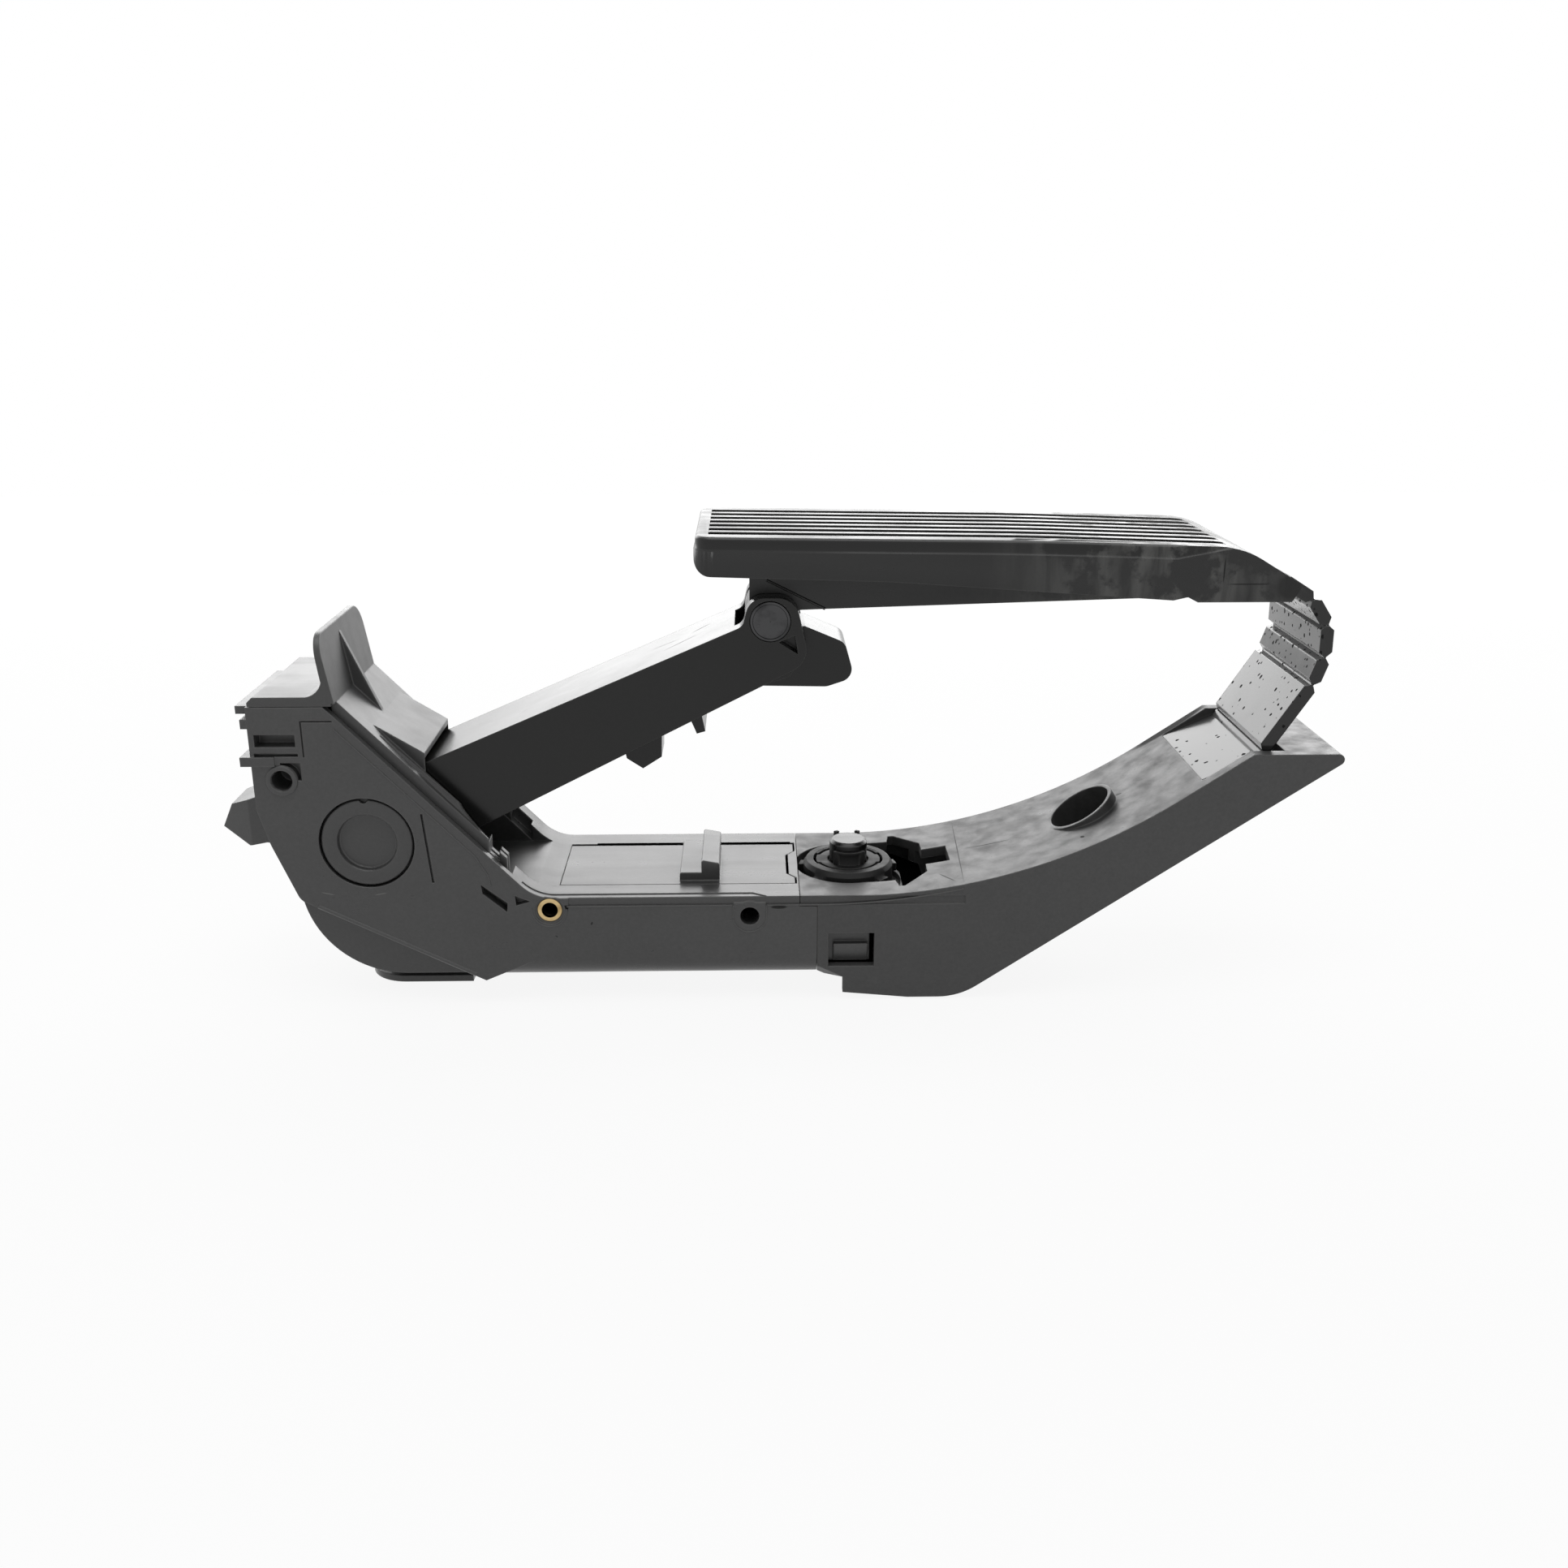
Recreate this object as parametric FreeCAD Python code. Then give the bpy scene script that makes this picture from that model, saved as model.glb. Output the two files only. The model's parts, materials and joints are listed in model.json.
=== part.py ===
import FreeCAD, Part
import math
import os

# Floor-mounted accelerator pedal module, in millimetres.
# X runs from the sensor box to the heel hinge, Y across, Z up from the floor.

V = FreeCAD.Vector

# Driving dimensions of the widths
ARM_W = 29.4            # drive arm across its cheeks
SIDE_GAP = 0.7          # arm to chamber wall
HULL_WALL = 3.1         # chamber wall
SKIN = 5.0              # side wall outside the chamber wall
WALL = 2.5              # general moulding wall
PAD_SIDE = 2.0          # pad past the base on each side
STRAP_INSET = 4.0       # strap inside the base on each side
FORK_W = 18.6           # hanger slot in the arm's fork

# Driving dimensions of the sensor box and tub, seen from the side
X_FACE = -130.3         # connector face
X_TOP = -111.2          # head of the slope
Z_BOX = 81.0            # box wall under the cover
Z_TUB = 29.2            # top of the tub
Z_FLOOR = 6.0           # underside of the tub
X_SEAM = 11.8           # joint with the heel ramp
SLOPE = 46.1            # fall of the slope, degrees
R_FOOT = 12.0           # slope into tub
R_BARREL = 26.0         # lower corner of the hull
R_EDGE = 6.0            # long lower edges of the tub

# Driving dimensions of the heel ramp
RAMP = 34.0             # rise of the ramp, degrees
X_KNEE = 66.5           # where the ramp's line meets the tub's top
R_KNEE = 152.0          # long curve into the ramp
RAMP_T = 14.8           # thickness of the ramp
Z_WEDGE = 67.0          # flat top of the wedge end
TIP_R = 1.45            # nose of the wedge
HEEL_R = 18.0           # heel under the knee
PLATE = 2.6             # top plate

# Driving dimensions of the mechanism
PIVOT_X = -103.4        # arm pivot
PIVOT_Z = 44.9
SHAFT_R = 5.0
BUSH_R = 7.5
CAP_R = 12.0
HUB_R = 11.5
ARM_REACH = 117.1       # arm pivot to pedal pin
ARM_RISE = 28.1         # of the line between them, degrees
PIN_R = 3.5
PIN_HEAD_R = 5.1
HEAD_SINK = 0.6         # pin head into the arm
FORK_UP = 2.2           # upper flank over the line of pivot and pin, at the fork
BOSS_R = 6.0            # arm's eye round the pin
HANGER_R = 6.4          # bracket's eye round the pin

# Driving dimensions of the pad and the strap
PAD_BACK = 18.7         # pad behind the pin
PAD_RUN = 130.0         # pad ahead of the pin
PAD_RISE = 22.9         # pad's top edge over the pin
PAD_DROP = 3.6          # fall of the top between the two ends of the ribs
SKIRT = 9.6             # depth of the pad's skirt at the back
NOSE_SKIRT = 13.0       # and near the nose
GROOVES = 7
GROOVE_DEPTH = 1.6
PAD_RIM = 3.6           # border behind the grooves
STRAP_T = 3.3
FILM_T = 0.8
FILM_GAP = 0.5          # between neighbouring links at their film
ROOT_IN = 1.156         # strap's root behind the pad's end
ROOT_DOWN = 13.255      # and under the pad's top
BENDS = ((0.92571, 0.13989), (0.78210, 0.25190), (0.59027, 0.26949), (0.42231, 0.22733))

# Driving dimensions of the kick-down switch and the tub's lid
KD_X = 21.2
KD_RING_R = 12.2
KD_TOP = 30.7
KD_SEAT = 22.4
KD_R = 5.1              # button
KD_LIFT = 5.8           # button over the ring
KD_STROKE = 3.5
KD_GAP = 2.4            # round well past the ring
LUG_GAP = 1.1           # ring's lugs to the well's wall
LUG_TURNS = (13.0, 60.0, 120.0, 167.0, 227.0, 313.0)  # degrees round the ring
BARREL_WALL = 1.6
LID_INSET = 1.0         # lid inside the chamber on each side
LID_SLOT = 1.2          # open slot along the lid's far side
LID_END = 0.5           # and round its stepped end
LID_BACK = -56.0
BAR_X = -16.2           # stop bar
BAR_W = 24.0
BAR_TOP = 35.0

# Fixings
TUBE_X = 85.0           # screw tube on the ramp
TUBE_R = 8.7
TUBE_WALL = 1.0
SCREW_R = 3.3
EYE_X, EYE_Z, EYE_R = -123.1, 61.9, 2.6
PEG_X, PEG_Z, PEG_R = -5.8, 23.8, 2.5
NUT_X, NUT_Z = -57.8, 25.8
NUT_R, NUT_BORE, NUT_LONG = 3.25, 2.0, 8.0

# Clearances
RUN = 0.05              # shafts in their bushes, radial
PRESS = 0.02            # pressed pieces, radial
FIT = 0.15              # covers and caps in their seats
FREE = 0.5              # pieces that pass each other

# Sizes that follow
CHAMBER_W = ARM_W + 2 * SIDE_GAP
HULL_W = CHAMBER_W + 2 * HULL_WALL
BASE_W = HULL_W + 2 * SKIN
PAD_W = BASE_W + 2 * PAD_SIDE
STRAP_W = BASE_W - 2 * STRAP_INSET
NEAR = -BASE_W / 2
FAR = BASE_W / 2
X_FOOT = X_TOP + (Z_BOX - Z_TUB) / math.tan(math.radians(SLOPE))
RISE = math.tan(math.radians(RAMP))
X_HEEL = X_KNEE - (Z_TUB - RAMP_T / math.cos(math.radians(RAMP))) / RISE
X_WEDGE = X_KNEE + (Z_WEDGE - Z_TUB) / RISE
X_TIP = X_HEEL + Z_WEDGE / RISE
PIN_X = PIVOT_X + ARM_REACH * math.cos(math.radians(ARM_RISE))
PIN_Z = PIVOT_Z + ARM_REACH * math.sin(math.radians(ARM_RISE))
PAD_Z = PIN_Z + PAD_RISE
HOLLOW_X = PIN_X + PAD_RUN - 32.0
X_BULK = PIVOT_X - HUB_R - 3.0
LID_W = CHAMBER_W - 2 * LID_INSET
CHAMBER_Z = PIVOT_Z - HUB_R - 3.0
PANEL_UP = 2.6          # cover's slope panel over the box wall
PANEL_T = 5.6
SHELF_T = 2.5
APERTURE_X = PIVOT_X + 14.7
HOOD_Z = PIVOT_Z + 22.4
PLATE_UP = 17.8         # dust plate over the box wall
RIM = 2.3               # box wall beside the slope panel
WELL_R = KD_RING_R + KD_GAP
LAP_X = X_SEAM - 4.4    # end of the ramp's lip on the tub
COLLAR_Z = KD_TOP - 2.4  # ceiling over the button's collar


# Drawing helpers

def rounded(points, spot):
    """Closed wire through (a, b) or (a, b, radius) corners placed by spot(a, b)."""
    flat = [V(p[0], p[1], 0) for p in points]
    starts = []
    ends = []
    mids = []
    for i, point in enumerate(points):
        here = flat[i]
        radius = point[2] if len(point) > 2 else 0.0
        if radius <= 0.0:
            starts.append(here)
            ends.append(here)
            mids.append(None)
            continue
        back = (flat[i - 1] - here).normalize()
        ahead = (flat[(i + 1) % len(flat)] - here).normalize()
        half = back.getAngle(ahead) / 2
        reach = radius / math.tan(half)
        middle = (back + ahead).normalize()
        centre = here + middle * (radius / math.sin(half))
        starts.append(here + back * reach)
        ends.append(here + ahead * reach)
        mids.append(centre - middle * radius)
    edges = []
    for i in range(len(flat)):
        if mids[i] is not None:
            arc = [spot(p.x, p.y) for p in (starts[i], mids[i], ends[i])]
            edges.append(Part.Arc(*arc).toShape())
        after = starts[(i + 1) % len(flat)]
        if (after - ends[i]).Length > 1e-6:
            line = Part.LineSegment(spot(ends[i].x, ends[i].y), spot(after.x, after.y))
            edges.append(line.toShape())
    return Part.Wire(edges)


def side(points, y0, y1):
    """Side outline of (x, z) corners, extruded across from y0 to y1."""
    wire = rounded(points, lambda a, b: V(a, y0, b))
    return Part.Face(wire).extrude(V(0, y1 - y0, 0))


def plan(points, z0, z1):
    """Plan outline of (x, y) corners, extruded up from z0 to z1."""
    wire = rounded(points, lambda a, b: V(a, b, z0))
    return Part.Face(wire).extrude(V(0, 0, z1 - z0))


def section(points, x0, x1):
    """Cross section of (y, z) corners, extruded along from x0 to x1."""
    wire = rounded(points, lambda a, b: V(x0, a, b))
    return Part.Face(wire).extrude(V(x1 - x0, 0, 0))


def block(x0, x1, y0, y1, z0, z1):
    """Plain box between two corners."""
    return Part.makeBox(x1 - x0, y1 - y0, z1 - z0, V(x0, y0, z0))


def across(radius, x, z, y0, y1):
    """Cylinder across the module."""
    return Part.makeCylinder(radius, y1 - y0, V(x, y0, z), V(0, 1, 0))


def upright(radius, x, y, z0, z1):
    """Cylinder standing on the floor's normal."""
    return Part.makeCylinder(radius, z1 - z0, V(x, y, z0), V(0, 0, 1))


def turned(profile, base, axis):
    """Profile of (radius, along) corners turned round the axis through base."""
    wire = rounded(profile, lambda a, b: V(a, 0, b))
    shape = Part.Face(wire).revolve(V(0, 0, 0), V(0, 0, 1), 360)
    shape.Placement = FreeCAD.Placement(base, FreeCAD.Rotation(V(0, 0, 1), axis))
    return shape


def flats(corner, sides, a, b):
    """Regular outline round (a, b) with its corners at the given radius."""
    ring = []
    for k in range(sides):
        spin = 2 * math.pi * (k + 0.5) / sides
        ring.append((a + corner * math.cos(spin), b + corner * math.sin(spin)))
    return ring


def coil(radius, wire_r, pitch, turns, base, axis):
    """Wire coil along the axis from base, drawn in flat facets."""
    steps = int(turns * 8)
    rings = []
    for i in range(steps + 1):
        turn = 2 * math.pi * turns * i / steps
        out = V(math.cos(turn), math.sin(turn), 0)
        middle = out * radius + V(0, 0, pitch * turns * i / steps)
        rings.append([middle + out * a + V(0, 0, b) for a, b in flats(wire_r, 5, 0.0, 0.0)])
    corners = [rings[0][::-1], rings[-1]]
    for low, high in zip(rings, rings[1:]):
        for k in range(5):
            n = (k + 1) % 5
            corners.append([low[k], low[n], high[n]])
            corners.append([low[k], high[n], high[k]])
    faces = [Part.Face(Part.makePolygon(c + c[:1])) for c in corners]
    shape = Part.makeSolid(Part.makeShell(faces))
    shape.Placement = FreeCAD.Placement(base, FreeCAD.Rotation(V(0, 0, 1), axis))
    return shape


def join(first, *others):
    """One clean solid from pieces that meet."""
    return first.fuse(list(others)).removeSplitter()


def slope_at(x, up=0.0):
    """Height of the slope's line at x, lifted square to it by up."""
    lift = up / math.cos(math.radians(SLOPE))
    return Z_BOX + lift - (x - X_TOP) * math.tan(math.radians(SLOPE))


def slope_band(x0, x1, low, high):
    """Side outline of a band along the slope between two lifts."""
    return [(x0, slope_at(x0, low)), (x0, slope_at(x0, high)),
            (x1, slope_at(x1, high)), (x1, slope_at(x1, low))]


# Base housing: sensor box and tub in one moulding

def hull_outline():
    return [(X_FACE, Z_BOX), (X_TOP, Z_BOX), (X_FOOT, Z_TUB, R_FOOT), (X_SEAM, Z_TUB),
            (X_SEAM, Z_FLOOR), (X_BULK - 3.0, Z_FLOOR, R_BARREL),
            (X_BULK - 6.0, Z_FLOOR + 1.4 * R_BARREL), (X_FACE, PIVOT_Z + 11.0)]


def wall_outline():
    run_out = X_FOOT - 14.0
    return [(X_FACE, Z_BOX), (X_TOP, Z_BOX), (X_FOOT, Z_TUB, R_FOOT), (X_FOOT + 9.0, Z_TUB),
            (X_FOOT, Z_FLOOR + R_EDGE), (run_out, Z_FLOOR),
            (X_BULK - 3.7, PIVOT_Z - 15.7, 4.0), (X_BULK - 9.9, PIVOT_Z, 30.0),
            (X_FACE, PIVOT_Z + 9.0)]


def far_wall_outline():
    run_out = X_FOOT - 14.0
    return [(run_out, slope_at(run_out)), (X_FOOT, Z_TUB, R_FOOT), (X_FOOT + 9.0, Z_TUB),
            (X_FOOT, Z_FLOOR + R_EDGE), (run_out, Z_FLOOR)]


def tongue():
    """Locating tongue that hooks into the bulkhead."""
    tip = X_FACE - 15.5
    body = side([(tip, PIVOT_Z - 1.7), (tip + 3.2, PIVOT_Z + 4.9),
                 (tip + 9.8, PIVOT_Z + 7.2), (X_BULK, PIVOT_Z + 7.2), (X_BULK, PIVOT_Z - 8.0),
                 (tip + 12.0, PIVOT_Z - 5.4), (tip + 7.3, PIVOT_Z - 6.3)], -8.0, 8.0)
    taper = plan([(tip, -5.0), (tip + 8.0, -8.0), (X_BULK, -8.0), (X_BULK, 8.0),
                  (tip + 8.0, 8.0), (tip, 5.0)], 0.0, Z_BOX)
    return body.common(taper)


def foot():
    """Mushroom foot that slides into the floor plate."""
    left = X_BULK + 7.6
    sole = plan([(left, -11.5, 11.0), (left + 29.1, -11.5), (left + 29.1, 11.5),
                 (left, 11.5, 11.0)], 0.0, 1.8)
    neck = plan([(left + 5.0, -4.0), (left + 8.0, -7.0), (left + 26.0, -7.0), (left + 26.0, 7.0),
                 (left + 8.0, 7.0), (left + 5.0, 4.0)], 1.0, Z_FLOOR + 3.0)
    return join(sole, neck)


def connector_lips():
    """Lips of the connector's mouth on the box's end."""
    top = block(X_FACE - 2.9, X_FACE + 3.0, NEAR + 1.5, HULL_W / 2 - 5.0, Z_BOX - 2.0, Z_BOX)
    nub = section([(NEAR + 0.2, Z_BOX - 5.6), (NEAR + 4.6, Z_BOX - 5.6),
                   (NEAR + 4.6, Z_BOX - 3.2), (NEAR + 0.2, Z_BOX - 3.2)],
                  X_FACE - 1.7, X_FACE + 2.0)
    low = block(X_FACE - 2.5, X_FACE + 6.0, NEAR - 0.6, HULL_W / 2 - 5.0,
                Z_BOX - 15.2, Z_BOX - 12.8)
    return [top, nub, low]


def snap_tongue(hand):
    """Tongue with a hook that catches in the ramp's window."""
    inner = hand * (FAR - WALL - FIT)
    y0, y1 = sorted((inner, inner - hand * 2.2))
    blade = block(X_SEAM - 8.0, X_SEAM + 14.0, y0, y1, Z_FLOOR + 3.9, Z_FLOOR + 12.0)
    root = inner - hand * 1.0
    hook = section([(root, Z_FLOOR + 3.9), (inner + hand * 0.3, Z_FLOOR + 3.9),
                    (hand * (FAR - 0.9), Z_FLOOR + 9.2), (root, Z_FLOOR + 9.2)],
                   X_SEAM + 4.4, X_SEAM + 13.4)
    return [blade, hook]


def side_pockets():
    """Slots, pockets and steps on the near face."""
    panel_x = X_FACE + 13.5
    slot = block(X_FACE + 1.4, X_FACE + 11.5, NEAR, NEAR + 4.0, Z_BOX - 10.3, Z_BOX - 7.1)
    step = side([(panel_x, Z_BOX - 3.9), (X_TOP + 2.0, Z_BOX - 3.9), (X_TOP + 2.0, Z_BOX - 3.5),
                 (panel_x - 0.4, Z_BOX - 3.5), (panel_x - 0.4, Z_BOX - 13.0),
                 (panel_x, Z_BOX - 13.0)], NEAR, NEAR + 0.6)
    shadow = block(X_FACE + 1.0, panel_x - 1.6, NEAR, NEAR + 1.4, Z_BOX - 12.8, Z_BOX - 12.0)
    corner = block(EYE_X, EYE_X + 5.0, NEAR, NEAR + 2.2, EYE_Z, EYE_Z + 4.6)
    boss = across(EYE_R + 1.5, EYE_X, EYE_Z, NEAR, NEAR + 2.2)
    slit = side([(X_FOOT - 27.9, PIVOT_Z + 7.8), (X_FOOT - 27.3, PIVOT_Z + 7.8),
                 (X_FOOT - 25.6, PIVOT_Z - 11.0), (X_FOOT - 26.2, PIVOT_Z - 11.0)],
                NEAR, NEAR + 1.0)
    slant = side([(X_FOOT - 13.8, Z_TUB + 4.0), (X_FOOT - 7.2, Z_TUB - 1.2),
                  (X_FOOT - 7.4, Z_TUB - 3.7), (X_FOOT - 13.5, Z_TUB + 1.5)],
                 NEAR, NEAR + 3.5)
    notch = side([(X_FOOT - 5.2, Z_TUB + 0.8), (X_FOOT - 1.3, Z_TUB - 0.8),
                  (X_FOOT - 5.0, Z_TUB - 1.9)], NEAR, NEAR + 2.0)
    nick = side([(X_FOOT + 7.4, Z_TUB - 1.9), (X_FOOT + 8.6, Z_TUB - 2.1),
                 (X_FOOT + 8.0, Z_TUB - 4.2)], NEAR, NEAR + 1.2)
    return [slot, step, shadow, corner.cut(boss), slit, slant, notch, nick]


def rim_step(x0, x1):
    """Shallow set-back along the tub's upper edge, stopped at the peg hole."""
    strip = block(x0, x1, NEAR, NEAR + 0.4, Z_TUB - 2.3, Z_TUB)
    collar = across(PEG_R + 1.7, PEG_X, PEG_Z, NEAR, NEAR + 0.4)
    tab = block(PEG_X - PEG_R - 1.7, PEG_X + PEG_R + 1.7, NEAR, NEAR + 0.4, PEG_Z, Z_TUB - 1.6)
    return strip.cut(collar.fuse(tab))


def socket():
    """Connector mouth in the box's end."""
    half = HULL_W / 2 - 6.0
    low = Z_BOX - 12.3
    high = Z_BOX - 2.4
    return section([(1.0 - half, low), (half - 1.0, low), (half, low + 1.0), (half, high - 1.0),
                    (half - 1.0, high), (1.0 - half, high), (-half, high - 1.0), (-half, low + 1.0)],
                   X_FACE - 4.0, X_BULK - 3.2)


def pin_slots(grow):
    """Blades of the six terminals, grown on every side."""
    blades = []
    for i in range(6):
        y = (i - 2.5) * 3.6
        z = Z_BOX - 7.4
        blades.append(block(X_FACE + 2.5, X_BULK, y - 0.6 - grow, y + 0.6 + grow,
                            z - 0.5 - grow, z + 0.5 + grow))
    return blades


def base_housing():
    half = HULL_W / 2
    tub = section([(NEAR, Z_TUB), (FAR, Z_TUB), (FAR, Z_FLOOR, R_EDGE), (NEAR, Z_FLOOR, R_EDGE)],
                  X_FOOT - 14.0, X_SEAM)
    low_tub = tub.common(block(X_FOOT - 15.0, X_SEAM, NEAR, FAR, 0.0, Z_TUB))
    body = join(side(hull_outline(), -half, half), side(wall_outline(), NEAR, -half + 0.5),
                side(far_wall_outline(), half - 0.5, FAR), low_tub, tongue(), foot(),
                *connector_lips(), *snap_tongue(-1), *snap_tongue(1))
    chamber = side([(X_BULK, CHAMBER_Z, HUB_R), (X_FOOT + 4.0, CHAMBER_Z), (X_FOOT + 4.0, 70.0),
                    (X_TOP + 6.0, Z_BOX + 20.0), (X_BULK, Z_BOX + 20.0)],
                   -CHAMBER_W / 2, CHAMBER_W / 2)
    well = block(LID_BACK + 3.0, X_SEAM - 7.0, -LID_W / 2 + 2.0, LID_W / 2 - 2.0,
                 Z_FLOOR + WALL, Z_TUB + 1.0)
    ribs = []
    for i in range(1, 3):
        x = LID_BACK + i * (X_SEAM - LID_BACK) / 3.0
        ribs.append(block(x - 1.0, x + 1.0, -LID_W / 2, LID_W / 2, Z_FLOOR, Z_TUB - PLATE))
    body = body.cut([chamber, well.cut(ribs), lid_outline(FIT, LID_SLOT, LID_END, Z_TUB - PLATE, Z_TUB + 1.0)])
    cuts = [socket(), cover_seat(), ramp_lap(FIT), switch_cup(FIT)]
    cuts += pin_slots(PRESS) + side_pockets() + [rim_step(X_FOOT + 8.5, X_SEAM)]
    cuts.append(across(EYE_R, EYE_X, EYE_Z, NEAR - 1.0, NEAR + 8.0))
    cuts.append(across(PEG_R, PEG_X, PEG_Z, NEAR - 1.0, -LID_W / 2 + 3.0))
    cuts.append(across(NUT_R + PRESS, NUT_X, NUT_Z, NEAR - 1.0, NEAR + NUT_LONG + FREE))
    cuts.append(across(NUT_R + 0.6, NUT_X, NUT_Z, NEAR - 1.0, NEAR + 0.5))
    cuts.append(across(CAP_R + FIT, PIVOT_X, PIVOT_Z, NEAR - 1.0, NEAR + 3.2))
    cuts.append(across(BUSH_R + PRESS, PIVOT_X, PIVOT_Z, NEAR, FAR))
    return body.cut(cuts).removeSplitter()


# Cover over the sensor box, with its dust plate and gusset

def cover_seat():
    """Ledge for the slope panel between the box walls."""
    band = slope_band(X_TOP - 1.0, X_FOOT - 6.0, PANEL_UP - PANEL_T - FIT, 20.0)
    return side(band, NEAR + RIM, HULL_W / 2 + 0.1)


def housing_cover():
    half = HULL_W / 2
    foot_x = X_TOP + 2.6
    top = Z_BOX + SHELF_T
    shelf = side([(X_FACE + 0.6, Z_BOX + FIT), (X_FACE + 0.6, Z_BOX + 1.2), (X_FACE + 2.0, top),
                  (foot_x - 0.4, top), (foot_x - 0.4, Z_BOX + FIT)], NEAR, half)
    plate = side([(foot_x - 1.8, top - 1.0), (foot_x - 3.9, Z_BOX + PLATE_UP),
                  (foot_x - 2.5, Z_BOX + PLATE_UP), (foot_x + 0.4, Z_BOX + 0.6)], NEAR, half)
    corners = section([(NEAR, Z_BOX), (NEAR, Z_BOX + PLATE_UP, 6.0), (half, Z_BOX + PLATE_UP, 6.0),
                       (half, Z_BOX)], X_FACE, X_FOOT)
    cove = side([(foot_x - 7.0, top - 0.5), (foot_x - 1.8, top - 0.5), (foot_x - 2.5, top + 4.7)],
                NEAR, half)
    scoop = across(4.9, foot_x - 7.15, top + 4.9, NEAR, FAR)
    low_end = X_FOOT - 11.5
    panel = side(slope_band(foot_x - 1.0, low_end, PANEL_UP - PANEL_T, PANEL_UP),
                 NEAR + RIM + FIT, half)
    hood = side([(APERTURE_X - 13.0, slope_at(APERTURE_X - 13.0, PANEL_UP - 0.2)),
                 (APERTURE_X - 1.2, HOOD_Z, 0.8), (APERTURE_X, HOOD_Z - 0.8),
                 (APERTURE_X, slope_at(APERTURE_X, PANEL_UP - 1.0))],
                -CHAMBER_W / 2 - 0.4, CHAMBER_W / 2 + 0.4)
    reach = foot_x + 7.8
    gusset = side([(foot_x - 2.6, Z_BOX + PLATE_UP - 1.5), (reach, slope_at(reach, PANEL_UP - 0.5)),
                   (foot_x - 0.5, slope_at(foot_x - 0.5, PANEL_UP - 1.0))], -4.2, -2.6)
    hooks = []
    for y in (-CHAMBER_W / 2 - 4.6, -CHAMBER_W / 2 - 2.0):
        hooks.append(side(slope_band(low_end - 1.0, low_end + 4.2, PANEL_UP - 4.6, PANEL_UP - 2.8),
                          y, y + 1.6))
        hooks.append(side(slope_band(low_end + 2.4, low_end + 4.2, PANEL_UP - 4.6, PANEL_UP - 1.0),
                          y, y + 1.6))
    body = join(shelf, plate.common(corners), cove.cut(scoop), panel, hood, gusset, *hooks)
    aperture = side(slope_band(APERTURE_X, X_FOOT, -20.0, 20.0), -CHAMBER_W / 2, CHAMBER_W / 2)
    fall = math.radians(SLOPE)
    start = V(APERTURE_X - 10.0, NEAR + 5.3, slope_at(APERTURE_X - 10.0, PANEL_UP + 0.2))
    trough = Part.makeCone(0.5, 3.0, 38.0, start, V(math.cos(fall), 0.02, -math.sin(fall)))
    sweep = side([arm_point(-16.0, HUB_R + 1.5), arm_point(30.0, arm_top(30.0) + 1.5),
                  arm_point(30.0, -30.0), arm_point(-16.0, -30.0)], -CHAMBER_W / 2, CHAMBER_W / 2)
    return body.cut([aperture, trough, sweep]).removeSplitter()


# Small pieces of the base

def lid_outline(grow, slot, gap, z0, z1):
    """Tub lid in plan, stepped at its end, grown by a fit, a far slot and an end gap."""
    near = -LID_W / 2 - grow
    far = LID_W / 2 + slot
    end = X_SEAM - 5.5 + gap
    return plan([(LID_BACK - grow, near), (end, near), (end, near + 4.0), (end - 2.2, near + 7.0),
                 (end - 2.2, LID_W / 2 - 8.5 + gap), (end, LID_W / 2 - 5.6 + gap), (end, far),
                 (LID_BACK - grow, far)], z0, z1)


def tub_lid():
    """Inlaid lid with the stop bar that the arm lands on."""
    lid = lid_outline(0.0, 0.0, 0.0, Z_TUB - PLATE + FIT, Z_TUB)
    tall = side([(BAR_X - 2.4, Z_TUB - 1.0), (BAR_X - 2.4, BAR_TOP, 0.6), (BAR_X + 2.4, BAR_TOP - 0.9, 0.6),
                 (BAR_X + 2.4, Z_TUB - 1.0)], -BAR_W / 2, BAR_W / 2)
    low = side([(BAR_X - 8.2, Z_TUB - 1.0), (BAR_X - 8.2, BAR_TOP - 3.5, 0.6),
                (BAR_X - 2.0, BAR_TOP - 3.5), (BAR_X - 2.0, Z_TUB - 1.0)], -BAR_W / 2, BAR_W / 2)
    return join(lid, tall, low)


def sensor_outline(inset):
    """Sensor cover seen from the far side, drawn inside its edge."""
    left = X_FACE + 3.3 + inset
    right = X_FOOT - 15.0 - inset
    low = Z_FLOOR + 5.0 + inset
    return [(left, Z_BOX - 5.0 - inset, 3.0), (X_TOP - 2.0 - inset, Z_BOX - 5.0 - inset, 3.0),
            (right, slope_at(right) - 6.0 - inset, 3.0), (right, low, 3.0),
            (PIVOT_X + 8.0, low, 6.0), (X_BULK + 1.0 + inset, PIVOT_Z - 16.0, 4.0),
            (left, PIVOT_Z + 12.0, 4.0)]


def sensor_cover():
    """Tray over the sensor board on the far wall."""
    half = HULL_W / 2
    shell = side(sensor_outline(0.0), half, half + 6.5)
    hollow = side([(x, z) for x, z, _ in sensor_outline(2.0)], half, half + 4.7)
    return shell.cut(hollow)


def sensor_board():
    """Printed board facing the magnet on the shaft's end."""
    y = HULL_W / 2 + 2.7
    board = side([(PIVOT_X - 10.0, PIVOT_Z - 11.0), (PIVOT_X + 5.0, PIVOT_Z - 11.0),
                  (PIVOT_X + 5.0, PIVOT_Z + 12.0), (PIVOT_X - 10.0, PIVOT_Z + 12.0)], y, y + 1.4)
    posts = []
    for dx in (-8.0, 3.0):
        posts.append(block(PIVOT_X + dx - 1.0, PIVOT_X + dx + 1.0, HULL_W / 2, y + 0.5,
                           PIVOT_Z + 9.0, PIVOT_Z + 11.0))
    return join(board, *posts)


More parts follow.
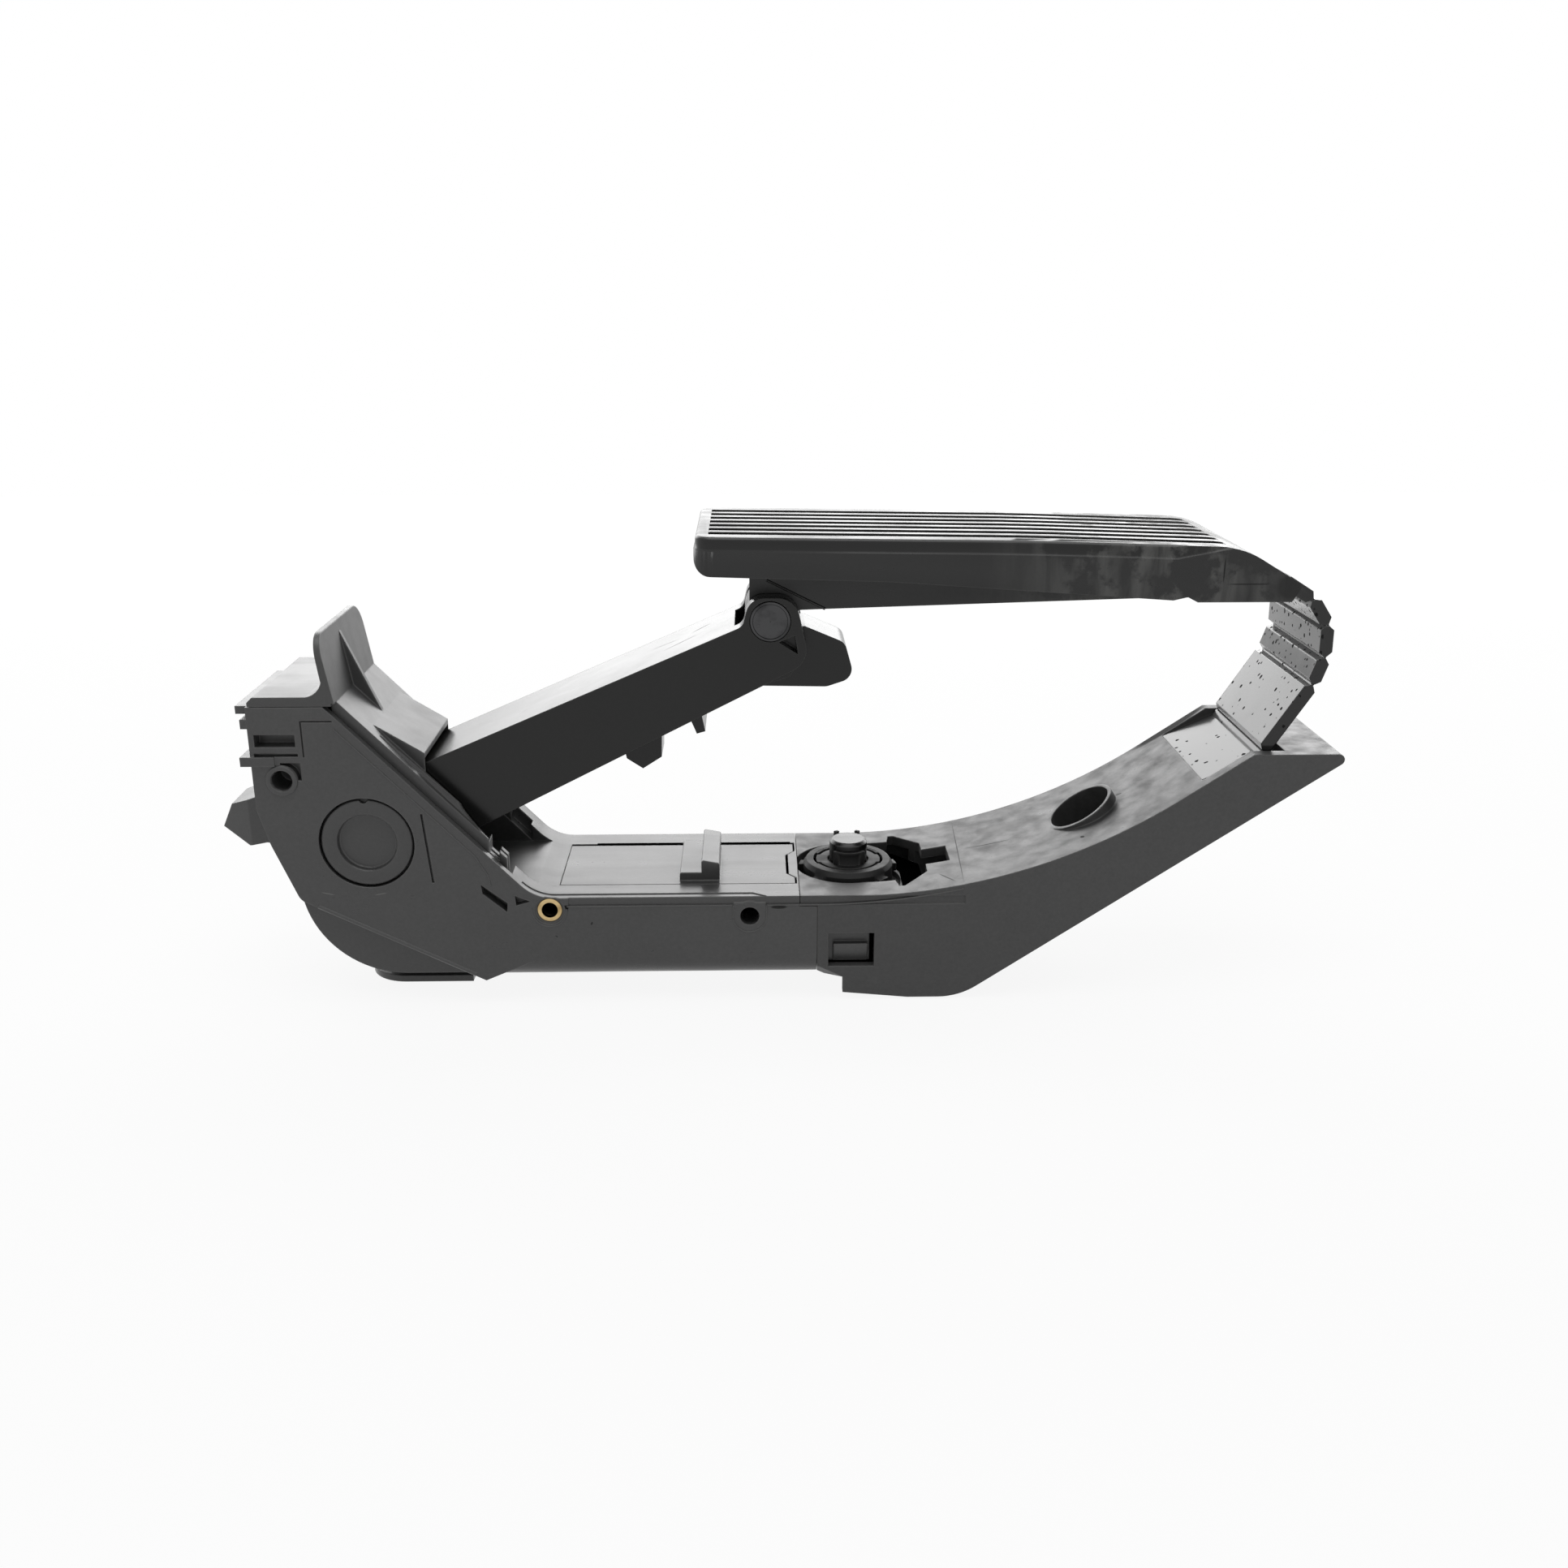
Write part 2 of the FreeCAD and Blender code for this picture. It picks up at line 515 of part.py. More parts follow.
def hall_sensor():
    y = HULL_W / 2 + 2.7
    return block(PIVOT_X - 2.5, PIVOT_X + 2.5, y - 0.9, y, PIVOT_Z - 2.0, PIVOT_Z + 2.0)


def pivot_cap():
    """Cap over the near bush, dished in the middle, with a half-round notch."""
    face = NEAR + 0.25
    depth = 2.9
    cap = turned([(0.0, 0.0), (CAP_R, 0.0), (CAP_R, depth), (0.62 * CAP_R, depth),
                  (0.62 * CAP_R, depth - 0.9), (0.0, depth - 0.9)],
                 V(PIVOT_X, face + depth, PIVOT_Z), V(0, -1, 0))
    notch = across(1.1, PIVOT_X, PIVOT_Z + CAP_R, face - 1.0, face + 1.4)
    return cap.cut(notch)


def bush(y0, y1):
    """Bearing bush, knurled in flats where it is pressed into the housing."""
    ring = side(flats(BUSH_R, 16, PIVOT_X, PIVOT_Z), y0, y1)
    return ring.cut(across(SHAFT_R + RUN, PIVOT_X, PIVOT_Z, y0 - 1.0, y1 + 1.0))


def threaded_insert():
    """Brass insert with a bore for the thread, opened a little at its mouth."""
    y0 = NEAR + 0.3
    body = turned([(NUT_BORE, 0.0), (NUT_R, 0.0), (NUT_R, NUT_LONG), (NUT_BORE, NUT_LONG)],
                  V(NUT_X, y0, NUT_Z), V(0, 1, 0))
    flare = Part.makeCone(NUT_BORE + 0.5, NUT_BORE, 0.5, V(NUT_X, y0, NUT_Z), V(0, 1, 0))
    return body.cut(flare)


# Heel ramp

def ramp_line(x, down=0.0):
    """Height of the ramp's straight top at x, lowered square to it."""
    return Z_TUB + (x - X_KNEE) * RISE - down / math.cos(math.radians(RAMP))


def ramp_outline():
    return [(X_SEAM + 0.1, Z_TUB), (X_KNEE, Z_TUB, R_KNEE), (X_WEDGE, Z_WEDGE),
            (X_TIP, Z_WEDGE, TIP_R), (X_HEEL, 0.0, HEEL_R), (X_HEEL - 13.7, 0.0),
            (X_SEAM + 6.9, 1.6), (X_SEAM + 6.9, Z_FLOOR), (X_SEAM + 0.1, Z_FLOOR)]


def ramp_lap(grow):
    """Lip of the ramp's plate that laps the tub's end."""
    return block(LAP_X - grow, X_SEAM + 0.2, NEAR - 0.1, FAR + 0.1, Z_TUB - PLATE - grow, Z_TUB + 1.0)


def switch_cup(grow):
    """Cup of the ramp round the kick-down switch, cut off with the lip."""
    corner = (WELL_R + WALL + grow) / math.cos(math.pi / 8)
    cup = plan(flats(corner, 8, KD_X, 0.0), KD_SEAT - WALL - grow, Z_TUB + grow)
    return cup.common(block(LAP_X - grow, X_TIP, NEAR, FAR, 0.0, Z_TUB + grow))


def ramp_hollow():
    """Open underside of the ramp, kept low under the strap's anchor."""
    under = Z_TUB - PLATE
    knee = X_KNEE + PLATE * math.tan(math.radians(RAMP / 2))
    shelf_x = X_WEDGE - 16.0
    half = FAR - WALL
    return side([(X_SEAM - 1.0, -5.0), (X_SEAM - 1.0, under), (knee, under, R_KNEE + PLATE),
                 (shelf_x, ramp_line(shelf_x, PLATE)), (shelf_x + 3.0, ramp_line(shelf_x + 3.0, 7.0)),
                 (X_WEDGE + 8.0, ramp_line(X_WEDGE, 7.0)), (X_WEDGE + 8.0, -5.0)], -half, half)


def on_ramp(x):
    """Point on the ramp's surface above the knee curve, on the centre plane."""
    start = X_KNEE - R_KNEE * math.tan(math.radians(RAMP / 2))
    reach = x - start
    return V(x, 0, Z_TUB + R_KNEE - math.sqrt(R_KNEE ** 2 - reach ** 2))


def recess():
    """Shallow bed of the strap's anchor between the ramp's rims."""
    half = STRAP_W / 2 + FREE
    left = X_WEDGE - 11.7
    return side([(left, ramp_line(left)), (X_WEDGE + 2.0, Z_WEDGE - 1.6), (X_WEDGE + 8.8, Z_WEDGE - 3.4),
                 (X_WEDGE + 8.8, Z_WEDGE + 9.0), (left, Z_WEDGE + 9.0)], -half, half)


def anchor_outline():
    """Anchor of the strap, flush at its lower end and sunk at the fold."""
    left = X_WEDGE - 11.6
    right = X_WEDGE + 1.9
    return [(left, ramp_line(left)), (right, Z_WEDGE - 1.6), (right, Z_WEDGE - 4.2),
            (left, ramp_line(left, 2.2))]


def corner_taper(hand):
    """Wedge off the ramp's lower front corner, which meets the tub's rounded edge."""
    wires = []
    for x, size in ((X_SEAM - 1.0, 0.7 * R_EDGE), (X_SEAM + 7.0, 0.3)):
        low = Z_FLOOR - 0.1
        edge = hand * (FAR + 0.1)
        wires.append(Part.makePolygon([V(x, edge, low), V(x, edge - hand * size, low),
                                       V(x, edge, low + size), V(x, edge, low)]))
    return Part.makeLoft(wires, True, True)


def keyhole():
    """Opening right of the kick-down switch, with its slot."""
    x = KD_X + KD_RING_R
    return plan([(KD_X, -14.2), (x - 0.4, -14.2), (x + 0.3, -18.4), (x + 1.8, -18.4), (x + 8.5, -10.4),
                 (x + 8.6, -5.4), (x + 15.2, -5.4), (x + 15.2, 5.4), (x + 8.6, 5.4),
                 (x + 8.5, 10.4), (x + 1.8, 18.4), (x + 0.3, 18.4), (x - 0.4, 14.2),
                 (KD_X, 14.2)], KD_SEAT + 2.0, Z_TUB + 6.0)


def tube_frame():
    """Foot and direction of the screw tube, square to the ramp's underside."""
    axis = V(-math.sin(math.radians(RAMP)), 0, math.cos(math.radians(RAMP)))
    return on_ramp(TUBE_X) + axis * 1.7, axis


def heel_ramp():
    body = side(ramp_outline(), NEAR, FAR).cut(ramp_hollow())
    rim, axis = tube_frame()
    depth = RAMP_T + 2.0
    tube = Part.makeCylinder(TUBE_R + TUBE_WALL, depth, rim, axis * -1)
    ribs = []
    for x in (X_HEEL + 1.5, X_HEEL + 14.0, TUBE_X + 18.0, TUBE_X + 30.0):
        top = min(on_ramp(x).z, ramp_line(x)) if x > X_KNEE else on_ramp(x).z
        low = max(0.0, (x - X_HEEL) * RISE) + 1.0
        ribs.append(block(x - 1.0, x + 1.0, NEAR + 1.0, FAR - 1.0, low, top - 1.0))
    solid = side(ramp_outline(), NEAR, FAR)
    spine = block(X_HEEL, X_TIP, -1.0, 1.0, 0.0, Z_WEDGE).common(solid)
    relief = Part.makeCylinder(TUBE_R, RAMP_T, rim - axis * depth, axis * -1)
    flanks = []
    for y in (-WELL_R + 2.0, WELL_R - 2.0):
        flanks.append(block(X_SEAM + 7.0, X_HEEL + 2.0, y - 1.0, y + 1.0, 2.0, Z_TUB).common(solid))
    lip = ramp_lap(0.0).common(block(LAP_X, X_TIP, NEAR, FAR, 0.0, Z_TUB))
    body = join(body, switch_cup(0.0), tube, lip, spine.cut(relief), *flanks, *ribs)
    bore = Part.makeCylinder(TUBE_R, depth - 3.0, rim + axis, axis * -1)
    screw = Part.makeCylinder(SCREW_R, depth + 6.0, rim, axis * -1)
    window = block(X_SEAM + 3.0, X_SEAM + 15.1, NEAR - 1.0, FAR + 1.0, Z_FLOOR + 3.2, Z_FLOOR + 12.7)
    kd_hole = upright(WELL_R, KD_X, 0.0, KD_SEAT, Z_TUB + 6.0)
    barrel = plan(flats(barrel_corner() + FIT, 8, KD_X, 0.0), 0.0, KD_SEAT + 1.0)
    seat = side(anchor_outline(), -STRAP_W / 2 - FIT, STRAP_W / 2 + FIT)
    cuts = [bore, screw, kd_hole, barrel, keyhole(), recess(), seat]
    cuts += [window, rim_step(X_SEAM - 5.0, X_KNEE - 16.0), corner_taper(-1), corner_taper(1)]
    return body.cut(cuts).removeSplitter()


# Kick-down switch

def barrel_corner():
    """Corner radius of the switch's eight-sided barrel, seated in its own hole."""
    return 0.7 * KD_RING_R


def barrel_inside():
    """Corner radius of the barrel's bore, one wall in from its flats."""
    return barrel_corner() - BARREL_WALL / math.cos(math.pi / 8)


def kickdown_ring():
    """Bayonet ring with its barrel, standing in the ramp's round well."""
    floor = KD_SEAT - 13.0
    dish = KD_TOP - 0.9
    rim = 0.78 * KD_RING_R
    ring = turned([(KD_R + RUN, KD_SEAT + FIT), (KD_RING_R, KD_SEAT + FIT), (KD_RING_R, KD_TOP),
                   (rim, KD_TOP), (rim, dish), (KD_R + RUN, dish)], V(KD_X, 0, 0), V(0, 0, 1))
    barrel = plan(flats(barrel_corner(), 8, KD_X, 0.0), floor, KD_SEAT + 1.0)
    lugs = []
    for turn in LUG_TURNS:
        lug = block(KD_RING_R - 1.0, WELL_R - LUG_GAP, -1.6, 1.6, Z_TUB - 3.0, Z_TUB - 0.8)
        lug.rotate(V(0, 0, 0), V(0, 0, 1), turn)
        lug.translate(V(KD_X, 0, 0))
        lugs.append(lug)
    bore = plan(flats(barrel_inside(), 8, KD_X, 0.0), floor + 2.0, COLLAR_Z)
    return join(ring, barrel, *lugs).cut(bore).removeSplitter()


def kickdown_button():
    """Plunger with an eight-sided collar that keeps it under the ring."""
    top = KD_TOP + KD_LIFT
    collar = plan(flats(barrel_inside() - FREE, 8, KD_X, 0.0), KD_TOP - 9.0, COLLAR_Z - FIT)
    head = turned([(0.0, COLLAR_Z - 1.0), (KD_R, COLLAR_Z - 1.0), (KD_R, top - 0.8), (KD_R - 0.8, top),
                   (0.0, top)], V(KD_X, 0, 0), V(0, 0, 1))
    return join(collar, head)


def kickdown_spring():
    low = KD_SEAT - 11.0
    high = KD_TOP - 9.0
    turns = 4.0
    return coil(4.0, 0.6, (high - low - 1.5) / turns, turns, V(KD_X, 0, low + 0.7), V(0, 0, 1))


# Drive arm and what turns with it

def arm_outline():
    """Hub, straight flanks and the fork's eye, seen from the side."""
    up = math.radians(23.5)
    down = math.radians(26.8)
    return [(PIVOT_X - HUB_R * math.sin(up), PIVOT_Z + HUB_R * math.cos(up)),
            (PIN_X - 6.9, PIN_Z - 1.2, 3.0), (PIN_X - 5.2, PIN_Z + BOSS_R, 4.6),
            (PIN_X + 6.3, PIN_Z + BOSS_R, 5.6), (PIN_X + 10.0, PIN_Z - 10.5, 6.0),
            (PIVOT_X + HUB_R * math.sin(down), PIVOT_Z - HUB_R * math.cos(down))]


def arm_point(along, up):
    """Point on the line from pivot to pin, moved square to it."""
    rise = math.radians(ARM_RISE)
    return (PIVOT_X + along * math.cos(rise) - up * math.sin(rise),
            PIVOT_Z + along * math.sin(rise) + up * math.cos(rise))


def arm_top(along):
    """Offset of the arm's upper flank from the line of pivot and pin."""
    return HUB_R - along * (HUB_R - FORK_UP) / (ARM_REACH - 6.7)


def drive_arm():
    half = ARM_W / 2
    inner = half - WALL
    outer = join(side(arm_outline(), -half, half), across(HUB_R, PIVOT_X, PIVOT_Z, -half, half))
    trough = side([arm_point(0.0, arm_top(0.0) - WALL), arm_point(ARM_REACH - 6.0, arm_top(ARM_REACH - 6.0) - WALL),
                   arm_point(ARM_REACH - 6.0, -40.0), arm_point(0.0, -40.0)], -inner, inner)
    hollow = across(HUB_R - 1.7, PIVOT_X, PIVOT_Z, -inner, inner)
    mouth = side([arm_point(ARM_REACH - 9.0, -14.0), arm_point(ARM_REACH - 9.0, 14.0),
                  arm_point(ARM_REACH + 20.0, 14.0), arm_point(ARM_REACH + 20.0, -20.0)],
                 -FORK_W / 2, FORK_W / 2)
    ribs = []
    for along in (24.0, 46.0, 68.0, 90.0):
        roof = arm_top(along) - 1.2
        ribs.append(side([arm_point(along - 0.9, -9.6), arm_point(along + 0.9, -9.6),
                          arm_point(along + 0.9, roof), arm_point(along - 0.9, roof)],
                         -inner - 0.5, inner + 0.5))
    web = side([arm_point(24.0, -8.6), arm_point(ARM_REACH - 9.0, -8.6),
                arm_point(ARM_REACH - 9.0, arm_top(ARM_REACH - 9.0) - 1.2),
                arm_point(24.0, arm_top(24.0) - 1.2)], -1.0, 1.0)
    nose = side([(PIN_X - 17.0, PIN_Z - 22.5), (PIN_X - 17.0, PIN_Z - 12.0), (PIN_X + 3.0, PIN_Z - 2.7),
                 (PIN_X + 9.0, PIN_Z - 2.7), (PIN_X + 19.2, PIN_Z - 7.0, 3.2),
                 (PIN_X + 21.8, PIN_Z - 16.2, 3.4), (PIN_X + 14.6, PIN_Z - 18.6, 4.0),
                 (PIN_X - 2.0, PIN_Z - 18.3)], -8.0, 8.0)
    nose = nose.cut(across(HANGER_R + FREE, PIN_X, PIN_Z, -9.0, 9.0))
    cheeks = [side([(PIN_X - 14.0, PIN_Z - 20.5), (PIN_X - 14.0, PIN_Z - 11.0), (PIN_X + 8.0, PIN_Z - 9.5),
                    (PIN_X + 5.0, PIN_Z - 14.5)], s - 3.3, s + 3.3) for s in (-10.5, 10.5)]
    tab = side([(PIN_X - 23.0, PIN_Z - 20.0), (PIN_X - 19.0, PIN_Z - 29.7),
                (PIN_X - 16.8, PIN_Z - 29.1), (PIN_X - 18.6, PIN_Z - 20.0)], -inner - 0.5, inner + 0.5)
    hook = side([(PIN_X - 39.6, PIN_Z - 30.0), (PIN_X - 37.8, PIN_Z - 38.4), (PIN_X - 33.6, PIN_Z - 41.2),
                 (PIN_X - 28.6, PIN_Z - 38.0), (PIN_X - 28.2, PIN_Z - 24.0)], -6.0, 6.0)
    body = outer.cut([trough, hollow, mouth])
    body = join(body, *ribs, web, nose, *cheeks, tab, hook)
    pocket = side([(PIN_X + 2.1, PIN_Z - 5.3), (PIN_X + 6.2, PIN_Z - 3.6),
                   (PIN_X + 7.0, PIN_Z - 8.4)], -half, -half + 4.0)
    cuts = [pocket, across(SHAFT_R + PRESS, PIVOT_X, PIVOT_Z, -half - 1.0, half + 1.0),
            across(PIN_R + PRESS, PIN_X, PIN_Z, -half - 1.0, half + 1.0),
            across(PIN_HEAD_R + FIT, PIN_X, PIN_Z, -half, -half + HEAD_SINK)]
    return body.cut(cuts).removeSplitter()


def pivot_shaft():
    return across(SHAFT_R, PIVOT_X, PIVOT_Z, NEAR + 4.0, HULL_W / 2 + 0.4)


def magnet_rotor():
    """Magnet cup on the shaft's end, facing the hall sensor."""
    y = HULL_W / 2 + 0.4
    return side(flats(SHAFT_R - 0.6, 12, PIVOT_X, PIVOT_Z), y, y + 1.0)


def hinge_pin():
    """Pin through fork and hanger, with its head on the near side."""
    half = ARM_W / 2
    pin = across(PIN_R, PIN_X, PIN_Z, -half + HEAD_SINK, half - 0.2)
    head = across(PIN_HEAD_R, PIN_X, PIN_Z, -half - 0.2, -half + HEAD_SINK)
    return join(pin, head)


def return_spring(y0):
    """Torsion coil round the shaft inside the arm's hub, with two legs."""
    wire_r = 1.0
    radius = HUB_R - 1.7 - wire_r - 0.7
    turns = 3
    pitch = 2 * wire_r + 0.25
    body = coil(radius, wire_r, pitch, turns, V(PIVOT_X, y0, PIVOT_Z), V(0, 1, 0))
    return body


# Pedal pad and its carrier

def pad_top(x):
    """Top edge of the pad: a long shallow curve that falls to the nose."""
    t = (x - PIN_X + PAD_BACK) / (PAD_BACK + PAD_RUN)
    return PAD_Z - PAD_DROP * t * t


def pad_outline(inset):
    """Pad from the side, drawn inside its skin by inset."""
    back = PIN_X - PAD_BACK + inset
    knee = PIN_X + PAD_RUN - 16.0
    nose = PIN_X + PAD_RUN - 0.4
    mid = PIN_X + PAD_RUN / 2
    low = PAD_Z - SKIRT
    drop = PAD_Z - NOSE_SKIRT - PAD_DROP + 0.4
    end = nose - inset
    return [(back, pad_top(back) - inset, 1.2), (mid, pad_top(mid) - inset, 1500.0),
            (knee, pad_top(knee) - inset, 22.0), (end, PAD_Z - 12.2, 1.0),
            (end - 2.5, drop), (HOLLOW_X + 6.0, drop), (HOLLOW_X + 3.5, drop + 1.3, 1.0),
            (HOLLOW_X, drop + 0.5), (HOLLOW_X - 68.0, low - 1.3, 400.0), (back, low + 0.2, 4.0)]


def pad_plan(inset):
    """Pad from above, with rounded corners at the back."""
    half = PAD_W / 2 - inset
    back = PIN_X - PAD_BACK + inset
    nose = PIN_X + PAD_RUN + 4.0
    return plan([(back, -half, 5.0 - inset), (nose, -half, 6.0), (nose, half, 6.0),
                 (back, half, 5.0 - inset)], PAD_Z - 30.0, PAD_Z + 10.0)


def pedal_pad():
    """Ribbed pad with a hollow underside and the strap's root on its nose."""
    body = side(pad_outline(0.0), -PAD_W / 2, PAD_W / 2).common(pad_plan(0.0))
    wall = 3.0
    hollow = side([(PIN_X - PAD_BACK + wall, PAD_Z - 30.0), (PIN_X - PAD_BACK + wall, PAD_Z - 5.2),
                   (HOLLOW_X, PAD_Z - 5.2 - PAD_DROP), (HOLLOW_X + 12.0, PAD_Z - 30.0)],
                  -PAD_W / 2 + wall, PAD_W / 2 - wall)
    first = PIN_X - PAD_BACK + PAD_RIM
    last = PIN_X + PAD_RUN - 19.0
    pitch = (PAD_W - 8.0) / GROOVES
    width = 0.6 * pitch
    grooves = []
    for i in range(GROOVES):
        y = (i - (GROOVES - 1) / 2) * pitch
        mid = (first + last) / 2
        lift = [(first, pad_top(first) - GROOVE_DEPTH), (mid, pad_top(mid) - GROOVE_DEPTH, 1500.0),
                (last, pad_top(last) - GROOVE_DEPTH), (last + 3.0, PAD_Z + 4.0), (first, PAD_Z + 4.0)]
        grooves.append(side(lift, y - width / 2, y + width / 2))
    root = link(ROOT, FILMS[0], True)
    return join(body.cut([hollow] + grooves), root)


def pedal_bracket():
    """Carrier in the pad's hollow, with the hanger's eye and the tapered keel."""
    wall = 3.0 + FIT
    half = PAD_W / 2 - wall
    roof = PAD_Z - 5.2 - FIT
    back = PIN_X - PAD_BACK + wall
    tray = side([(back, roof - 3.0), (back, roof), (HOLLOW_X - 4.0, roof - PAD_DROP),
                 (HOLLOW_X - 2.0, roof - PAD_DROP - 3.0)], -half, half)
    keel = side([(PIN_X - 5.2, roof - 1.0), (PIN_X - 5.2, PIN_Z + 3.0), (PIN_X + 4.0, PIN_Z + 1.4),
                 (PIN_X + 8.3, PIN_Z + 1.7), (PIN_X + 13.8, PIN_Z + 1.9, 8.0),
                 (HOLLOW_X + 6.0, PIN_Z + 4.6), (HOLLOW_X - 2.0, roof - PAD_DROP - 1.0)], -8.6, 8.6)
    eye = across(HANGER_R, PIN_X, PIN_Z, -8.6, 8.6)
    skirt_cut = block(HOLLOW_X - 2.0, HOLLOW_X + 12.0, -9.0, 9.0, PIN_Z, roof - PAD_DROP - 3.2)
    bore = across(PIN_R + RUN, PIN_X, PIN_Z, -20.0, 20.0)
    return join(tray, keel, eye).cut([bore, skirt_cut]).removeSplitter()


# Living-hinge strap from the pad's nose to the ramp

FOLD = (X_WEDGE + 3.3, Z_WEDGE - 0.3)
ROOT = (PIN_X + PAD_RUN - ROOT_IN, PAD_Z - ROOT_DOWN)
SPAN = (ROOT[0] - FOLD[0], ROOT[1] - FOLD[1])
FILMS = [(FOLD[0] + SPAN[0] * a + SPAN[1] * b, FOLD[1] + SPAN[1] * a - SPAN[0] * b) for a, b in BENDS]


def link(start, end, rooted=False):
    """Strap plate between two films, bevelled to each film."""
    span = V(end[0] - start[0], 0, end[1] - start[1])
    length = span.Length
    along = V(span.x, 0, span.z).normalize()
    out = V(along.z, 0, -along.x)
    half = STRAP_T / 2
    thin = FILM_T / 2
    gap = FILM_GAP / 2
    bevel = 1.1
    left = [(gap, -thin), (gap, thin), (gap + bevel, half)]
    right = [(length - gap - bevel, half), (length - gap, thin), (length - gap, -thin),
             (length - gap - bevel, -half)]
    if rooted:
        left = [(-1.5, -half), (-1.5, half)]
        tail = []
    else:
        tail = [(gap + bevel, -half)]
    corners = []
    for a, b in left + right + tail:
        spot = V(start[0], 0, start[1]) + along * a + out * b
        corners.append((spot.x, spot.z))
    return side(corners, -STRAP_W / 2, STRAP_W / 2)


def hinge_anchor():
    """Flap of the strap bedded in the ramp."""
    return side(anchor_outline(), -STRAP_W / 2, STRAP_W / 2)


def pieces():
    """Every piece of the module by node name."""
    half = HULL_W / 2
    coil_w = 6.9
    made = {
        "base_housing": base_housing(),
        "heel_ramp": heel_ramp(),
        "housing_cover": housing_cover(),
        "tub_lid": tub_lid(),
        "sensor_cover": sensor_cover(),
        "sensor_board": sensor_board(),
        "hall_sensor": hall_sensor(),
        "pivot_cap": pivot_cap(),
        "bush_near": bush(NEAR + 3.4, -CHAMBER_W / 2),
        "bush_far": bush(CHAMBER_W / 2, half),
        "threaded_insert": threaded_insert(),
        "kickdown_ring": kickdown_ring(),
        "kickdown_button": kickdown_button(),
        "kickdown_spring": kickdown_spring(),
        "return_spring_near": return_spring(-2.0 - coil_w),
        "return_spring_far": return_spring(2.0),
        "drive_arm": drive_arm(),
        "pivot_shaft": pivot_shaft(),
        "magnet_rotor": magnet_rotor(),
        "hinge_pin": hinge_pin(),
        "pedal_pad": pedal_pad(),
        "pedal_bracket": pedal_bracket(),
        "hinge_anchor": hinge_anchor(),
    }
    for i, blade in enumerate(pin_slots(0.0)):
        made["terminal_pin_%d" % (i + 1)] = blade
    for i in range(3):
        made["hinge_link_%d" % (i + 1)] = link(FILMS[i], FILMS[i + 1])
    made["hinge_link_4"] = link(FILMS[3], FOLD)
    return made


os.makedirs("parts", exist_ok=True)
for name, shape in pieces().items():
    shape.exportStep("parts/%s.step" % name)
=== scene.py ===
import json
import logging
import math
from contextlib import contextmanager
from dataclasses import dataclass
from enum import Enum
from typing import Any, Callable, Iterator, Optional, Sequence, Union

import bmesh
import bpy
from mathutils import Matrix, Vector


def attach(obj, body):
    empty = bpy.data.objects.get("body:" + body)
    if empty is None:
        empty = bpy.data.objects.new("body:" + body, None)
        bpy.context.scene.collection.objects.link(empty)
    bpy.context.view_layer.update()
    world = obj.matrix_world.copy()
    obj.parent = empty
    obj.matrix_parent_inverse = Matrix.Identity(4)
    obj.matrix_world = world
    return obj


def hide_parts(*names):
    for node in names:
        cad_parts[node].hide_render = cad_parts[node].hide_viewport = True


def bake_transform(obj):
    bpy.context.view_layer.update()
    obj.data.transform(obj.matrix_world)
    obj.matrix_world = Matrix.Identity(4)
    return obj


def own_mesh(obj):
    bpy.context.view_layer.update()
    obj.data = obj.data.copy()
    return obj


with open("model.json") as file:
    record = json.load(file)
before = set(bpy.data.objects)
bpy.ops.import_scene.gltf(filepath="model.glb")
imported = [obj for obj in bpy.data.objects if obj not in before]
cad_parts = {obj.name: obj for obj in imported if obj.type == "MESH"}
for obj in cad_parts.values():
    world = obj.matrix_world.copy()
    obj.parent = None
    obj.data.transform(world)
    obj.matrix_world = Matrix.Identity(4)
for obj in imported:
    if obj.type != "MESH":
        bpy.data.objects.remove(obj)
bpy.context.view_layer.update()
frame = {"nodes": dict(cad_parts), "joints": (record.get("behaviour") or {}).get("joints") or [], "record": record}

MM = 0.001
LOG = logging.getLogger("pedal")
BAND = "band"
EDGE_GLINT, BAND_SHADE, WIPED, BORE_SHADE, MIRROR = "8A8A88", "050505", "7C7C7A", "0D0B08", "F4F4F4"
CRUMB_LIMIT = "1A1A1A"
GLAZE_POWER, GLAZE_LIMIT = 5.0, 0.42

Point = Sequence[float]
Socket = bpy.types.NodeSocket


class Way(Enum):
    """Directions in which an outline is drawn out or a profile turned."""

    ACROSS = "y"
    UP = "z"
    NEARWARD = "-y"


# Finishes


def linear(code: str) -> tuple[float, float, float, float]:
    """Turns an sRGB hex colour into linear values.

    Args:
        code: Six hex digits.

    Returns:
        Red, green, blue and alpha.
    """
    parts = [int(code[i:i + 2], 16) / 255 for i in (0, 2, 4)]
    bent = [p / 12.92 if p <= 0.04045 else ((p + 0.055) / 1.055) ** 2.4 for p in parts]
    return (bent[0], bent[1], bent[2], 1.0)


def per_metre(size_mm: float) -> float:
    """Texture scale at which one cell of a pattern has a size in millimetres."""
    return 1000.0 / size_mm


def add(tree: bpy.types.NodeTree, kind: str, feeds: Optional[dict[Any, Any]] = None,
        **settings: Any) -> bpy.types.Node:
    """Adds a node with its settings, input values and links.

    Args:
        tree: Node tree that takes the node.
        kind: Node type.
        feeds: Input name or index, with a value or the socket that feeds it.
        settings: Attributes of the node.

    Returns:
        The new node.
    """
    node = tree.nodes.new(kind)
    for key, value in settings.items():
        setattr(node, key, value)
    for key, value in (feeds or {}).items():
        if isinstance(value, Socket):
            tree.links.new(value, node.inputs[key])
        else:
            node.inputs[key].default_value = value
    return node


